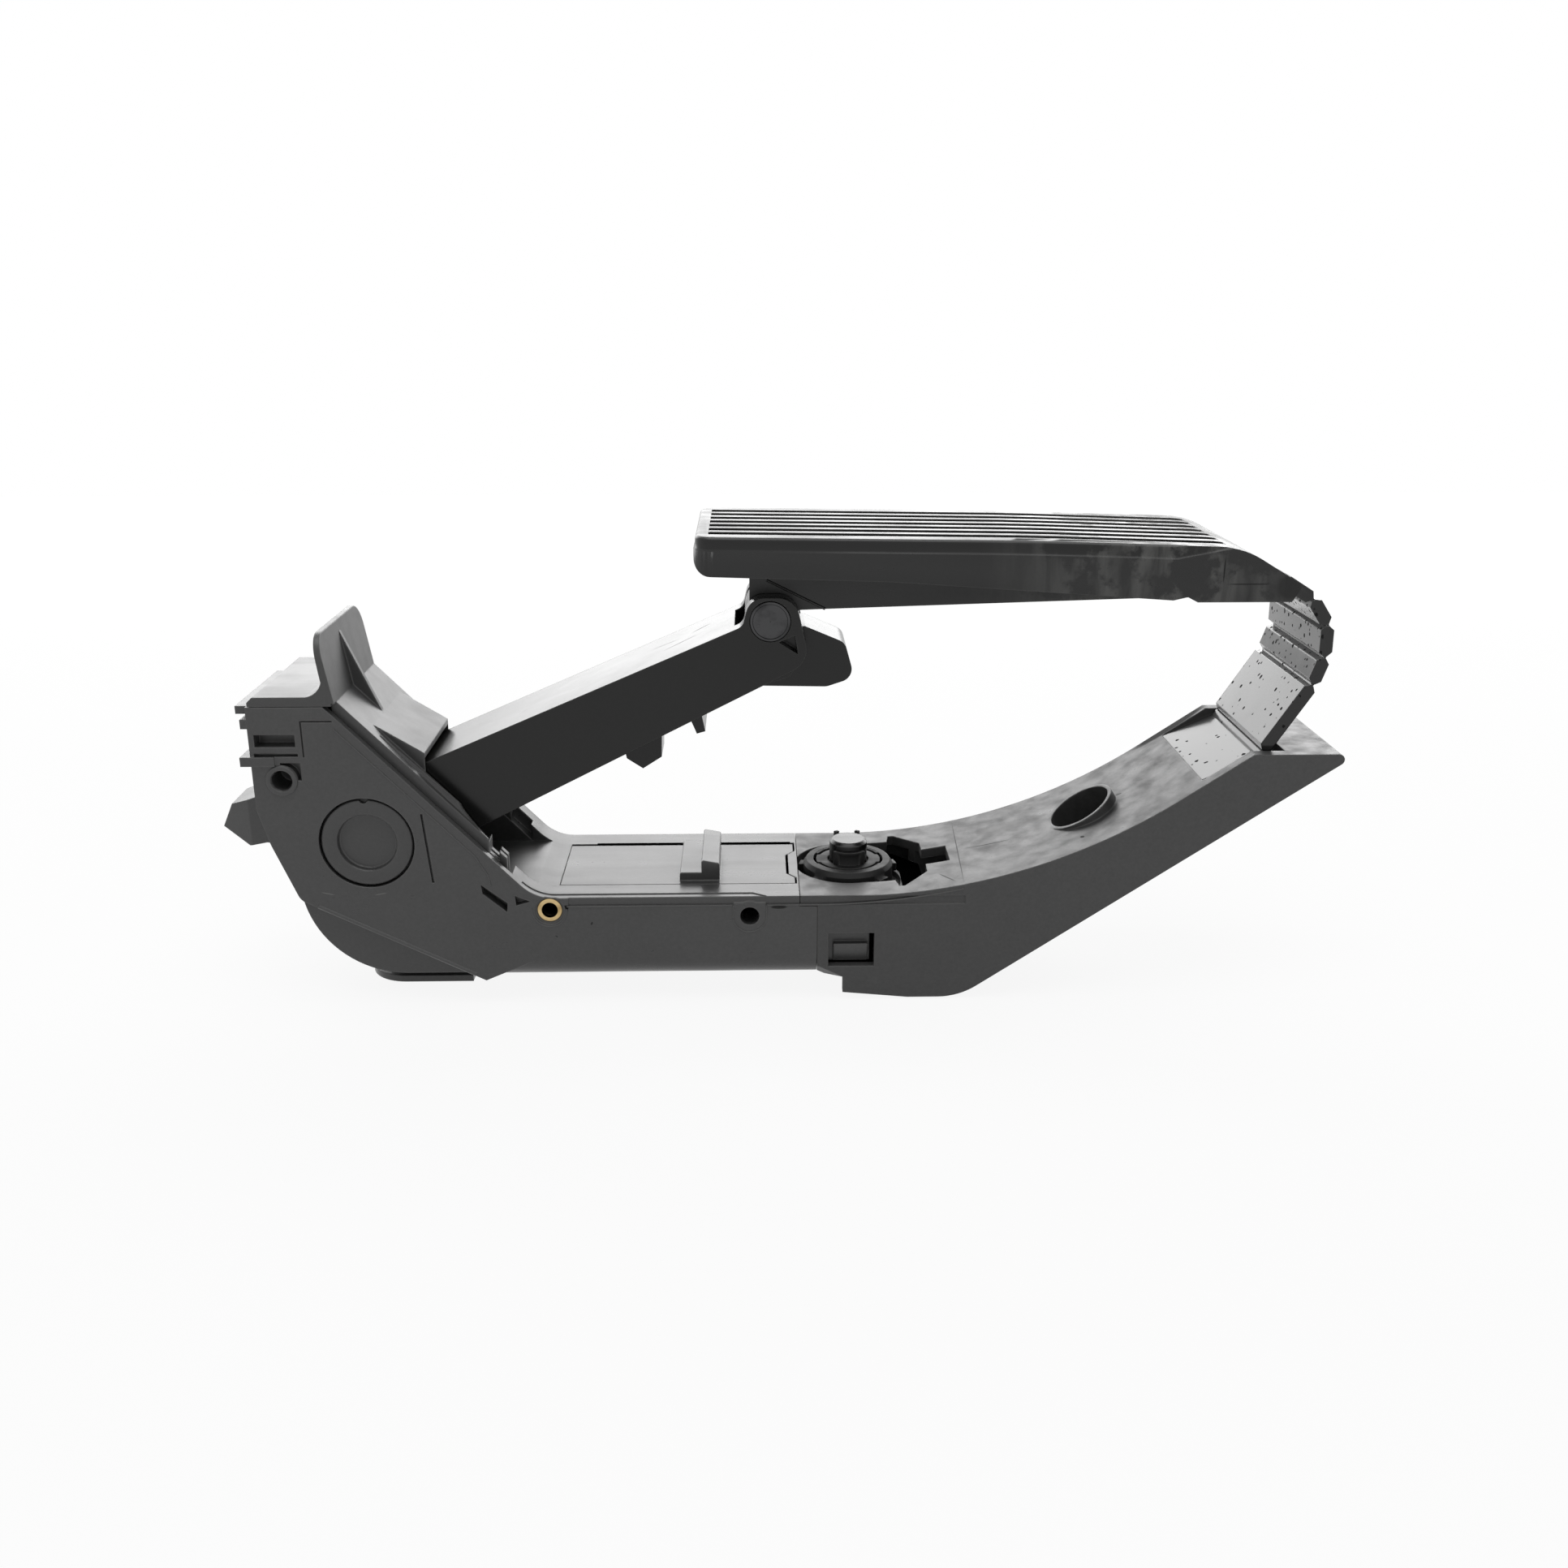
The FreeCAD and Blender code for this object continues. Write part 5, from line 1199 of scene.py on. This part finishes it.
@dataclass
class KickdownSwitch:
    """Bayonet ring with its slotted disc, the guide fingers and the button.

    Attributes:
        top: Top of the ring.
        dish: Depth of the ring's dish.
        button_r: Radius of the button.
        lift: Height of the button over the ring.
        disc_r: Radius of the disc between its tabs.
        tab_r: Radius of its two tabs.
        tab_deg: Half angle of a tab.
        ring_r: Radius of the ring.
        rim_r: Radius at which its bevelled rim begins.
        lip_r: Inner radius of the lips inside it.
        lip_out: Outer radius of the lips, let into the ring.
        hole_r: Radius of the disc's hole round the button.
        coil_low: Foot of the coil.
        coil_high: Top of the coil.
        coil_turns: Turns of the coil.
        keyhole: Near half of the painted-shade sheet on the keyhole's ledge, as steps from the button.
    """

    top: float = 30.7
    dish: float = 0.9
    button_r: float = 5.1
    lift: float = 5.8
    disc_r: float = 8.05
    tab_r: float = 8.75
    tab_deg: float = 21.0
    ring_r: float = 12.2
    rim_r: float = 11.3
    lip_r: float = 8.95
    lip_out: float = 9.55
    hole_r: float = 5.6
    coil_low: float = 11.4
    coil_high: float = 21.7
    coil_turns: int = 4
    keyhole: tuple[Point, ...] = ((20.7, 5.3), (20.6, 10.3), (13.9, 18.2), (12.6, 18.2), (11.9, 14.0),
                                  (11.4, 14.0), (14.7, 5.0))

    def build(self, palette: Palette) -> None:
        """Builds the ring, its disc, the fingers, the sheets of painted shade and the spring."""
        self.ring(palette)
        self.disc(palette)
        self.shade_sheets(palette)
        self.fingers(palette)
        low, high, turns = self.coil_low, self.coil_high, self.coil_turns
        coil = CoilSpring("kickdown_spring", 4.0, 0.6, turns, (high - low - 1.3) / turns,
                          (SWITCH_X, 0.0, low + 0.62), Way.UP).build(palette)
        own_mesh(coil)

    def sector(self, name: str, inner: float, outer: float, middle_deg: float, half_deg: float, z0: float,
               z1: float) -> Workpiece:
        """Draws a curved block round the button.

        Args:
            name: Name of the piece.
            inner: Inner radius.
            outer: Outer radius.
            middle_deg: Direction of its middle.
            half_deg: Half of its angle.
            z0: Foot.
            z1: Top.

        Returns:
            The block on the bench.
        """
        turns = [math.radians(middle_deg + half_deg * (i / 6 - 1)) for i in range(13)]
        rim = [(SWITCH_X + outer * math.cos(t), outer * math.sin(t)) for t in turns]
        rim += [(SWITCH_X + inner * math.cos(t), inner * math.sin(t)) for t in reversed(turns)]
        return Workpiece.outline(name, rim, Way.UP, z0, z1)

    def ring(self, palette: Palette) -> None:
        """Bevels the rim of a copy of the ring and lays the two lips inside it."""
        piece = Workpiece.copy_of("kickdown_ring", "switch_ring")
        out, top = self.ring_r + 0.2, self.top + 0.05
        piece.bored(Workpiece.turned("rim_cut", [(self.rim_r, top), (out, top + 0.3), (out, self.top - 1.5)],
                                     (SWITCH_X, 0.0, 0.0), Way.UP, 96))
        piece.done(palette, "switch_plastic", "base", "kickdown_ring", smooth_deg=28.0)
        half = 90.0 - self.tab_deg - 4.0
        for name, middle in (("switch_lip_front", -90.0), ("switch_lip_back", 90.0)):
            lip = self.sector(name, self.lip_r, self.lip_out, middle, half, self.top - self.dish,
                              self.top - 0.05)
            lip.soften(0.1, 1)
            lip.done(palette, "switch_plastic", "base")

    def disc(self, palette: Palette) -> None:
        """Draws the disc with two bayonet tabs and opens it round the button."""
        count = 120
        rim = []
        for i in range(count):
            turn = 360.0 * i / count
            off = min(turn % 180.0, 180.0 - turn % 180.0)
            reach = self.tab_r if off < self.tab_deg else self.disc_r
            angle = math.radians(turn)
            rim.append((SWITCH_X + reach * math.cos(angle), reach * math.sin(angle)))
        piece = Workpiece.outline("switch_disc", rim, Way.UP, self.top - self.dish, self.top - 0.1)
        hole = Workpiece.turned("hole", [(0.0, -2.0), (self.hole_r, -2.0), (self.hole_r, 2.0), (0.0, 2.0)],
                                (SWITCH_X, 0.0, self.top), Way.UP, 60)
        piece.bored(hole)
        piece.soften(0.12)
        piece.done(palette, "switch_plastic", "base")

    def shade_sheets(self, palette: Palette) -> None:
        """Lays black sheets of painted shade in the ring's dish and on the keyhole's ledge."""
        foot = self.top - self.dish
        gap_shade = Workpiece.turned("switch_gap_shade", [(5.7, foot - 0.1), (9.48, foot - 0.1),
                                                    (9.48, foot + 0.06), (9.4, foot + 0.1),
                                                    (5.7, foot + 0.1)],
                                  (SWITCH_X, 0.0, 0.0), Way.UP, 96)
        gap_shade.done(palette, "switch_plastic", "base", look=SHADE_SHEET)
        rim = [(SWITCH_X + x, -y) for x, y in self.keyhole]
        rim += [(SWITCH_X + x, y) for x, y in reversed(self.keyhole)]
        floor = Workpiece.outline("keyhole_shade", rim, Way.UP, 24.3, 24.62)
        floor.soften(0.05, 1)
        floor.done(palette, "ramp_plastic", "base", look=SHADE_SHEET)

    def fingers(self, palette: Palette) -> None:
        """Builds the framed finger in front of the button and the two prongs behind it."""
        foot = self.top - self.dish
        inner = self.button_r + 0.2
        front = self.sector("switch_finger", inner, inner + 0.95, -90.0, 43.0, foot, self.top + 3.7)
        window = self.sector("window", inner + 0.5, inner + 2.0, -90.0, 27.0, foot + 0.7, self.top + 3.0)
        front.bored(window)
        front.soften(0.12)
        front.done(palette, "switch_plastic", "base")
        prong = self.sector("switch_prong_1", inner, inner + 1.1, 62.0, 6.0, foot, self.top + self.lift + 0.1)
        with prong.edit():
            prong.pick_faces(lambda place, normal: normal.z > 0.9)
            bpy.ops.mesh.inset(thickness=0.2 * MM)
            bpy.ops.transform.translate(value=(0.0, 0.0, 0.12 * MM))
        prong.soften(0.12)
        mirror = Matrix.Translation((SWITCH_X * MM, 0, 0)) @ Matrix.Rotation(math.radians(58), 4, "Z") \
            @ Matrix.Translation((-SWITCH_X * MM, 0, 0))
        twin = prong.copied("switch_prong_2", mirror)
        prong.done(palette, "switch_plastic", "base")
        twin.done(palette, "switch_plastic", "base")


@dataclass
class DriveArm:
    """Pin head of the arm's fork and the coils in its hub.

    Attributes:
        half: Half the arm's width.
        pin_r: Radius of the pin.
        head_r: Radius of its head.
        sink: Depth of the head in the arm.
    """

    half: float = 14.7
    pin_r: float = 3.5
    head_r: float = 5.1
    sink: float = 0.6

    def build(self, palette: Palette) -> None:
        """Builds the pin and the two return springs."""
        h, r, p = self.half, self.head_r, self.pin_r
        face = h + 0.2
        piece = Workpiece.turned("hinge_pin_headed", [
            (0.0, 0.2 - h), (p - 0.4, 0.2 - h), (p, 0.6 - h), (p, h - self.sink), (r, h - self.sink),
            (r, face - 0.2), (r - 0.12, face - 0.05), (r - 0.3, face), (r - 0.62, face),
            (r - 0.78, face - 0.2), (0.0, face - 0.2)], (PIN[0], 0.0, PIN[1]), Way.NEARWARD, 72)
        piece.done(palette, "pin_steel", "arm", "hinge_pin")
        dot = Workpiece.turned("pin_witness", [(0.0, -0.2), (0.55, -0.2), (0.5, 0.06), (0.3, 0.14),
                                               (0.0, 0.16)],
                               (PIN[0] - 3.0, 0.2 - face, PIN[1] - 1.1), Way.NEARWARD, 24)
        dot.done(palette, "pin_steel", "arm")
        for node, start in (("return_spring_near", -8.9), ("return_spring_far", 2.0)):
            CoilSpring(node, 8.1, 1.0, 3, 2.25, (PIVOT[0], start, PIVOT[1]), Way.ACROSS).build(palette)


@dataclass
class PedalPad:
    """Tread of the pad with its rounded edge, sunk band and parting line.

    Attributes:
        half: Half the pad's width.
        back: X of its back end.
        corner_r: Radius of its back corners.
        middle: X where the tread's fall steepens.
        knee: X where the tread turns down to the nose.
        heights: Top of the tread at the back, the middle and the knee.
        blend: Half the length of the bend at the middle.
        edge_r: Rounding of the tread's edge.
        band: Depth of the parting line under the tread.
        sink: Depth of the band in the skirt.
        bracket: Half the width of the bracket under the pad.
        brace: Slanting edge on each side of the bracket.
    """

    half: float = 25.5
    back: float = -18.803
    corner_r: float = 5.0
    middle: float = 64.897
    knee: float = 113.897
    heights: tuple[float, float, float] = (122.955, 121.814, 120.088)
    blend: float = 16.2
    edge_r: float = 1.0
    band: float = 2.9
    sink: float = 0.45
    bracket: float = 8.6
    brace: tuple[Point, ...] = ((-0.9, 109.4), (13.9, 102.0))

    def top(self, x: float) -> float:
        """Gives the height of the tread at x."""
        first = (self.heights[1] - self.heights[0]) / (self.middle - self.back)
        second = (self.heights[2] - self.heights[1]) / (self.knee - self.middle)
        past = x - self.middle + self.blend
        bend = 0.0 if past < 0 else past * past / (4 * self.blend)
        if past > 2 * self.blend:
            bend = past - self.blend
        return self.heights[0] + first * (x - self.back) + (second - first) * bend

    def path(self) -> list[tuple[Vector, Vector, Vector]]:
        """Walks round the tread's edge from the near side by the back to the far side.

        Returns:
            Place, outward and upward direction at each step.
        """
        up = Vector((0.0, 0.0, 1.0))
        sides = (112.0, 106.0, 98.0, 88.0, 76.0, 64.0, 52.0, 20.0)
        steps = [(Vector((x, -self.half, 0.0)), Vector((0.0, -1.0, 0.0))) for x in sides]
        for hand, turns in ((-1, range(0, 9)), (1, range(8, -1, -1))):
            for i in turns:
                turn = math.pi / 2 * i / 8
                out = Vector((-math.sin(turn), hand * math.cos(turn), 0.0))
                middle = Vector((self.back + self.corner_r, hand * (self.half - self.corner_r), 0.0))
                steps.append((middle + out * self.corner_r, out))
        steps += [(Vector((x, self.half, 0.0)), Vector((0.0, 1.0, 0.0))) for x in reversed(sides)]
        return [(Vector((p.x, p.y, self.top(p.x) + max(0.0, p.x - 98.0) * 0.22)), out, up)
                for p, out in steps]

    def build(self, palette: Palette) -> None:
        """Cuts the edge and the band round a copy of the pad."""
        piece = Workpiece.copy_of("pedal_pad", "pedal_tread")
        r, sink = self.edge_r, self.sink
        round_off = [(-sink - r + r * math.sin(math.pi / 2 * i / 6), -r + r * math.cos(math.pi / 2 * i / 6))
                     for i in range(7)]
        cutter = Workpiece.swept("trim", self.path(), [*round_off, (-sink, -self.band),
                                                       (0.0, -self.band - sink), (0.7, -self.band - sink),
                                                       (0.7, 0.8), (-sink - r, 0.8)])
        piece.bored(cutter)
        self.shade(piece)
        piece.done(palette, "pad_plastic", "pedal", "pedal_pad", smooth_deg=24.0)
        ridge = [(-0.4, -0.1), (0.4, -0.1), (0.15, 0.4), (-0.15, 0.4)]
        for name, wall in (("brace_near", -self.bracket), ("brace_far", self.bracket)):
            Workpiece.swept(name, on_wall(self.brace, wall), ridge).done(palette, "pad_plastic", "pedal")

    def shade(self, piece: Workpiece) -> None:
        """Marks the faces of the sunk band, which the material paints near black as painted shade."""
        mesh = piece.obj.data
        band = mesh.attributes.new(BAND, "FLOAT", "FACE")
        for face in mesh.polygons:
            spot = face.center / MM
            outer = abs(spot.y) > self.half - 0.7 or spot.x < self.back + self.corner_r
            sunk = self.top(spot.x) - self.band - 0.1 < spot.z < self.top(spot.x) - self.edge_r * 0.4
            band.data[face.index].value = 1.0 if outer and sunk and abs(face.normal.z) < 0.6 else 0.0


@dataclass
class StrapHinge:
    """Film hinges between the strap's links and the rolled fold on the ramp.

    Attributes:
        width: Width of the strap.
        film_t: Thickness of a film.
        half_long: Half the length of a film, let into both links.
        root: Middle of the strap's root on the pad.
        fold: Middle of the fold on the ramp.
    """

    width: float = 39.0
    film_t: float = 0.8
    half_long: float = 0.9
    root: Point = (128.741, 109.7)
    fold: Point = (125.841, 66.7)

    def build(self, palette: Palette) -> None:
        """Builds the four films and the fold."""
        films = [j for j in frame["joints"] if j["name"].startswith("film_")]
        spots = [Vector((j["pos_m"][0], 0.0, j["pos_m"][2])) / MM for j in films]
        chain = [Vector((self.root[0], 0, self.root[1])), *spots, Vector((self.fold[0], 0, self.fold[1]))]
        for i, joint in enumerate(films):
            along = (chain[i + 2] - chain[i]).normalized()
            self.film(palette, joint, chain[i + 1], along)
        self.roll(palette)

    def film(self, palette: Palette, joint: dict[str, Any], spot: Vector, along: Vector) -> None:
        """Draws one waisted film between its two links.

        Args:
            palette: Materials of the module.
            joint: Joint of the two links.
            spot: Middle of the film.
            along: Direction of the strap there.
        """
        out = Vector((along.z, 0.0, -along.x))
        long, thick = self.half_long, self.film_t / 2
        rows = [(-long, thick), (-0.3, thick * 0.8), (0.0, thick * 0.65), (0.3, thick * 0.8), (long, thick)]
        edge = [spot + along * a + out * b for a, b in rows]
        edge += [spot + along * a - out * b for a, b in reversed(rows)]
        half = self.width / 2 - 0.15
        piece = Workpiece.outline("strap_" + joint["name"], [(p.x, p.z) for p in edge], Way.ACROSS, -half,
                                  half)
        obj = piece.done(palette, "strap_plastic", None, smooth_deg=60.0)
        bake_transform(obj)

    def roll(self, palette: Palette) -> None:
        """Draws the rounded fold that ties the strap to its anchor."""
        x, z = self.fold
        ring = []
        for i in range(13):
            turn = math.radians(-115.0 + 235.0 * i / 12)
            ring.append((x - 0.35 + 0.75 * math.cos(turn), z - 0.55 + 0.75 * math.sin(turn)))
        ring += [(x - 1.45, z - 1.2), (x - 1.45, z - 1.9)]
        half = self.width / 2 - 0.15
        piece = Workpiece.outline("strap_fold", ring, Way.ACROSS, -half, half)
        piece.done(palette, "strap_plastic", "base", smooth_deg=50.0)


@dataclass
class Studio:
    """Camera, soft light and pale floor.

    Attributes:
        eye: Place of the camera in millimetres.
        aim: Direction of view.
        lens: Focal length for a sensor of 36 mm.
    """

    eye: Point = (-4.544, -383.745, 182.067)
    aim: Point = (0.0202, 0.9470, -0.3205)
    lens: float = 34.47

    def build(self) -> None:
        """Sets up the whole studio."""
        scene = bpy.context.scene
        scene.view_settings.view_transform = "Standard"
        self.camera()
        self.light("back_panel", (0.0, 1.0, 0.52), (0.0, 0.0, 0.05), 2.4, 0.8, 2.6)
        self.light("top_panel", (0.0, -0.2, 1.3), (0.0, 0.0, 0.05), 1.3, 0.9, 2.2)
        self.world()
        self.floor()

    def camera(self) -> None:
        """Places the camera at the photograph's angle."""
        data = bpy.data.cameras.new("camera")
        data.lens = self.lens
        data.sensor_width = 36.0
        data.clip_start = 0.01
        data.clip_end = 20.0
        eye = bpy.data.objects.new("camera", data)
        eye.location = Vector(self.eye) * MM
        eye.rotation_mode = "QUATERNION"
        eye.rotation_quaternion = Vector(self.aim).to_track_quat("-Z", "Y")
        bpy.context.scene.collection.objects.link(eye)
        bpy.context.scene.camera = eye

    def light(self, name: str, place: Point, target: Point, width: float, height: float,
              radiance: float) -> None:
        """Hangs a soft panel.

        Args:
            name: Name of the panel.
            place: Its middle in metres.
            target: Point that it faces.
            width: Width in metres.
            height: Height in metres.
            radiance: Brightness of its face, with white as 1.
        """
        data = bpy.data.lights.new(name, "AREA")
        data.shape = "RECTANGLE"
        data.size = width
        data.size_y = height
        data.energy = radiance * math.pi * width * height
        lamp = bpy.data.objects.new(name, data)
        lamp.location = place
        lamp.rotation_mode = "QUATERNION"
        lamp.rotation_quaternion = (Vector(target) - Vector(place)).to_track_quat("-Z", "Y")
        lamp.visible_camera = False
        bpy.context.scene.collection.objects.link(lamp)

    def seen(self, tree: bpy.types.NodeTree) -> Socket:
        """Adds the mask of rays that look straight at the background.

        Args:
            tree: Tree of the floor or the world.

        Returns:
            1 for camera, mirror and transmission rays.
        """
        path = add(tree, "ShaderNodeLightPath")
        first = add(tree, "ShaderNodeMath", {0: path.outputs["Is Camera Ray"],
                                             1: path.outputs["Is Glossy Ray"]}, operation="MAXIMUM")
        both = add(tree, "ShaderNodeMath", {0: first.outputs["Value"],
                                            1: path.outputs["Is Transmission Ray"]}, operation="MAXIMUM")
        return both.outputs["Value"]

    def world(self) -> None:
        """Makes a white surround that lights the object only softly."""
        world = bpy.data.worlds.new("surround")
        bpy.context.scene.world = world
        world.use_nodes = True
        tree = world.node_tree
        tree.nodes.clear()
        soft = add(tree, "ShaderNodeBackground", {"Color": (1, 1, 1, 1), "Strength": 0.26})
        white = add(tree, "ShaderNodeBackground", {"Color": (1, 1, 1, 1), "Strength": 1.0})
        mix = add(tree, "ShaderNodeMixShader", {0: self.seen(tree), 1: soft.outputs[0], 2: white.outputs[0]})
        add(tree, "ShaderNodeOutputWorld", {"Surface": mix.outputs[0]})

    def floor(self) -> None:
        """Lays a pale floor that stays near white and keeps a faint shadow."""
        clear_bench()
        bpy.ops.mesh.primitive_plane_add(size=1.9, location=(0.0, 0.0, -0.0006))
        piece = Workpiece.named("floor")
        made, tree = fresh("pale painted floor")
        place = add(tree, "ShaderNodeTexCoord").outputs["Object"]
        tone = add(tree, "ShaderNodeTexNoise", {"Vector": place, "Scale": per_metre(160.0)})
        paint = add(tree, "ShaderNodeMix", {0: tone.outputs["Fac"], 6: linear("EDEDED"), 7: linear("F2F2F2")},
                    data_type="RGBA")
        matt = add(tree, "ShaderNodeBsdfDiffuse", {"Color": paint.outputs[2]})
        glow = add(tree, "ShaderNodeEmission", {"Color": (1, 1, 1, 1), "Strength": 1.0})
        share = add(tree, "ShaderNodeMath", {0: self.seen(tree), 1: 0.9}, operation="MULTIPLY")
        mix = add(tree, "ShaderNodeMixShader", {0: share.outputs["Value"], 1: matt.outputs[0],
                                                2: glow.outputs[0]})
        add(tree, "ShaderNodeOutputMaterial", {"Surface": mix.outputs[0]})
        piece.obj.data.materials.append(made)


def main() -> None:
    """Builds the studio and every sub-assembly in order."""
    logging.basicConfig(level=logging.INFO, format="%(name)s %(message)s")
    Studio().build()
    palette = Palette.mixed()
    palette.dress_frame()
    BaseModule().build(palette)
    KickdownSwitch().build(palette)
    DriveArm().build(palette)
    PedalPad().build(palette)
    StrapHinge().build(palette)


if __name__ == "__main__":
    main()
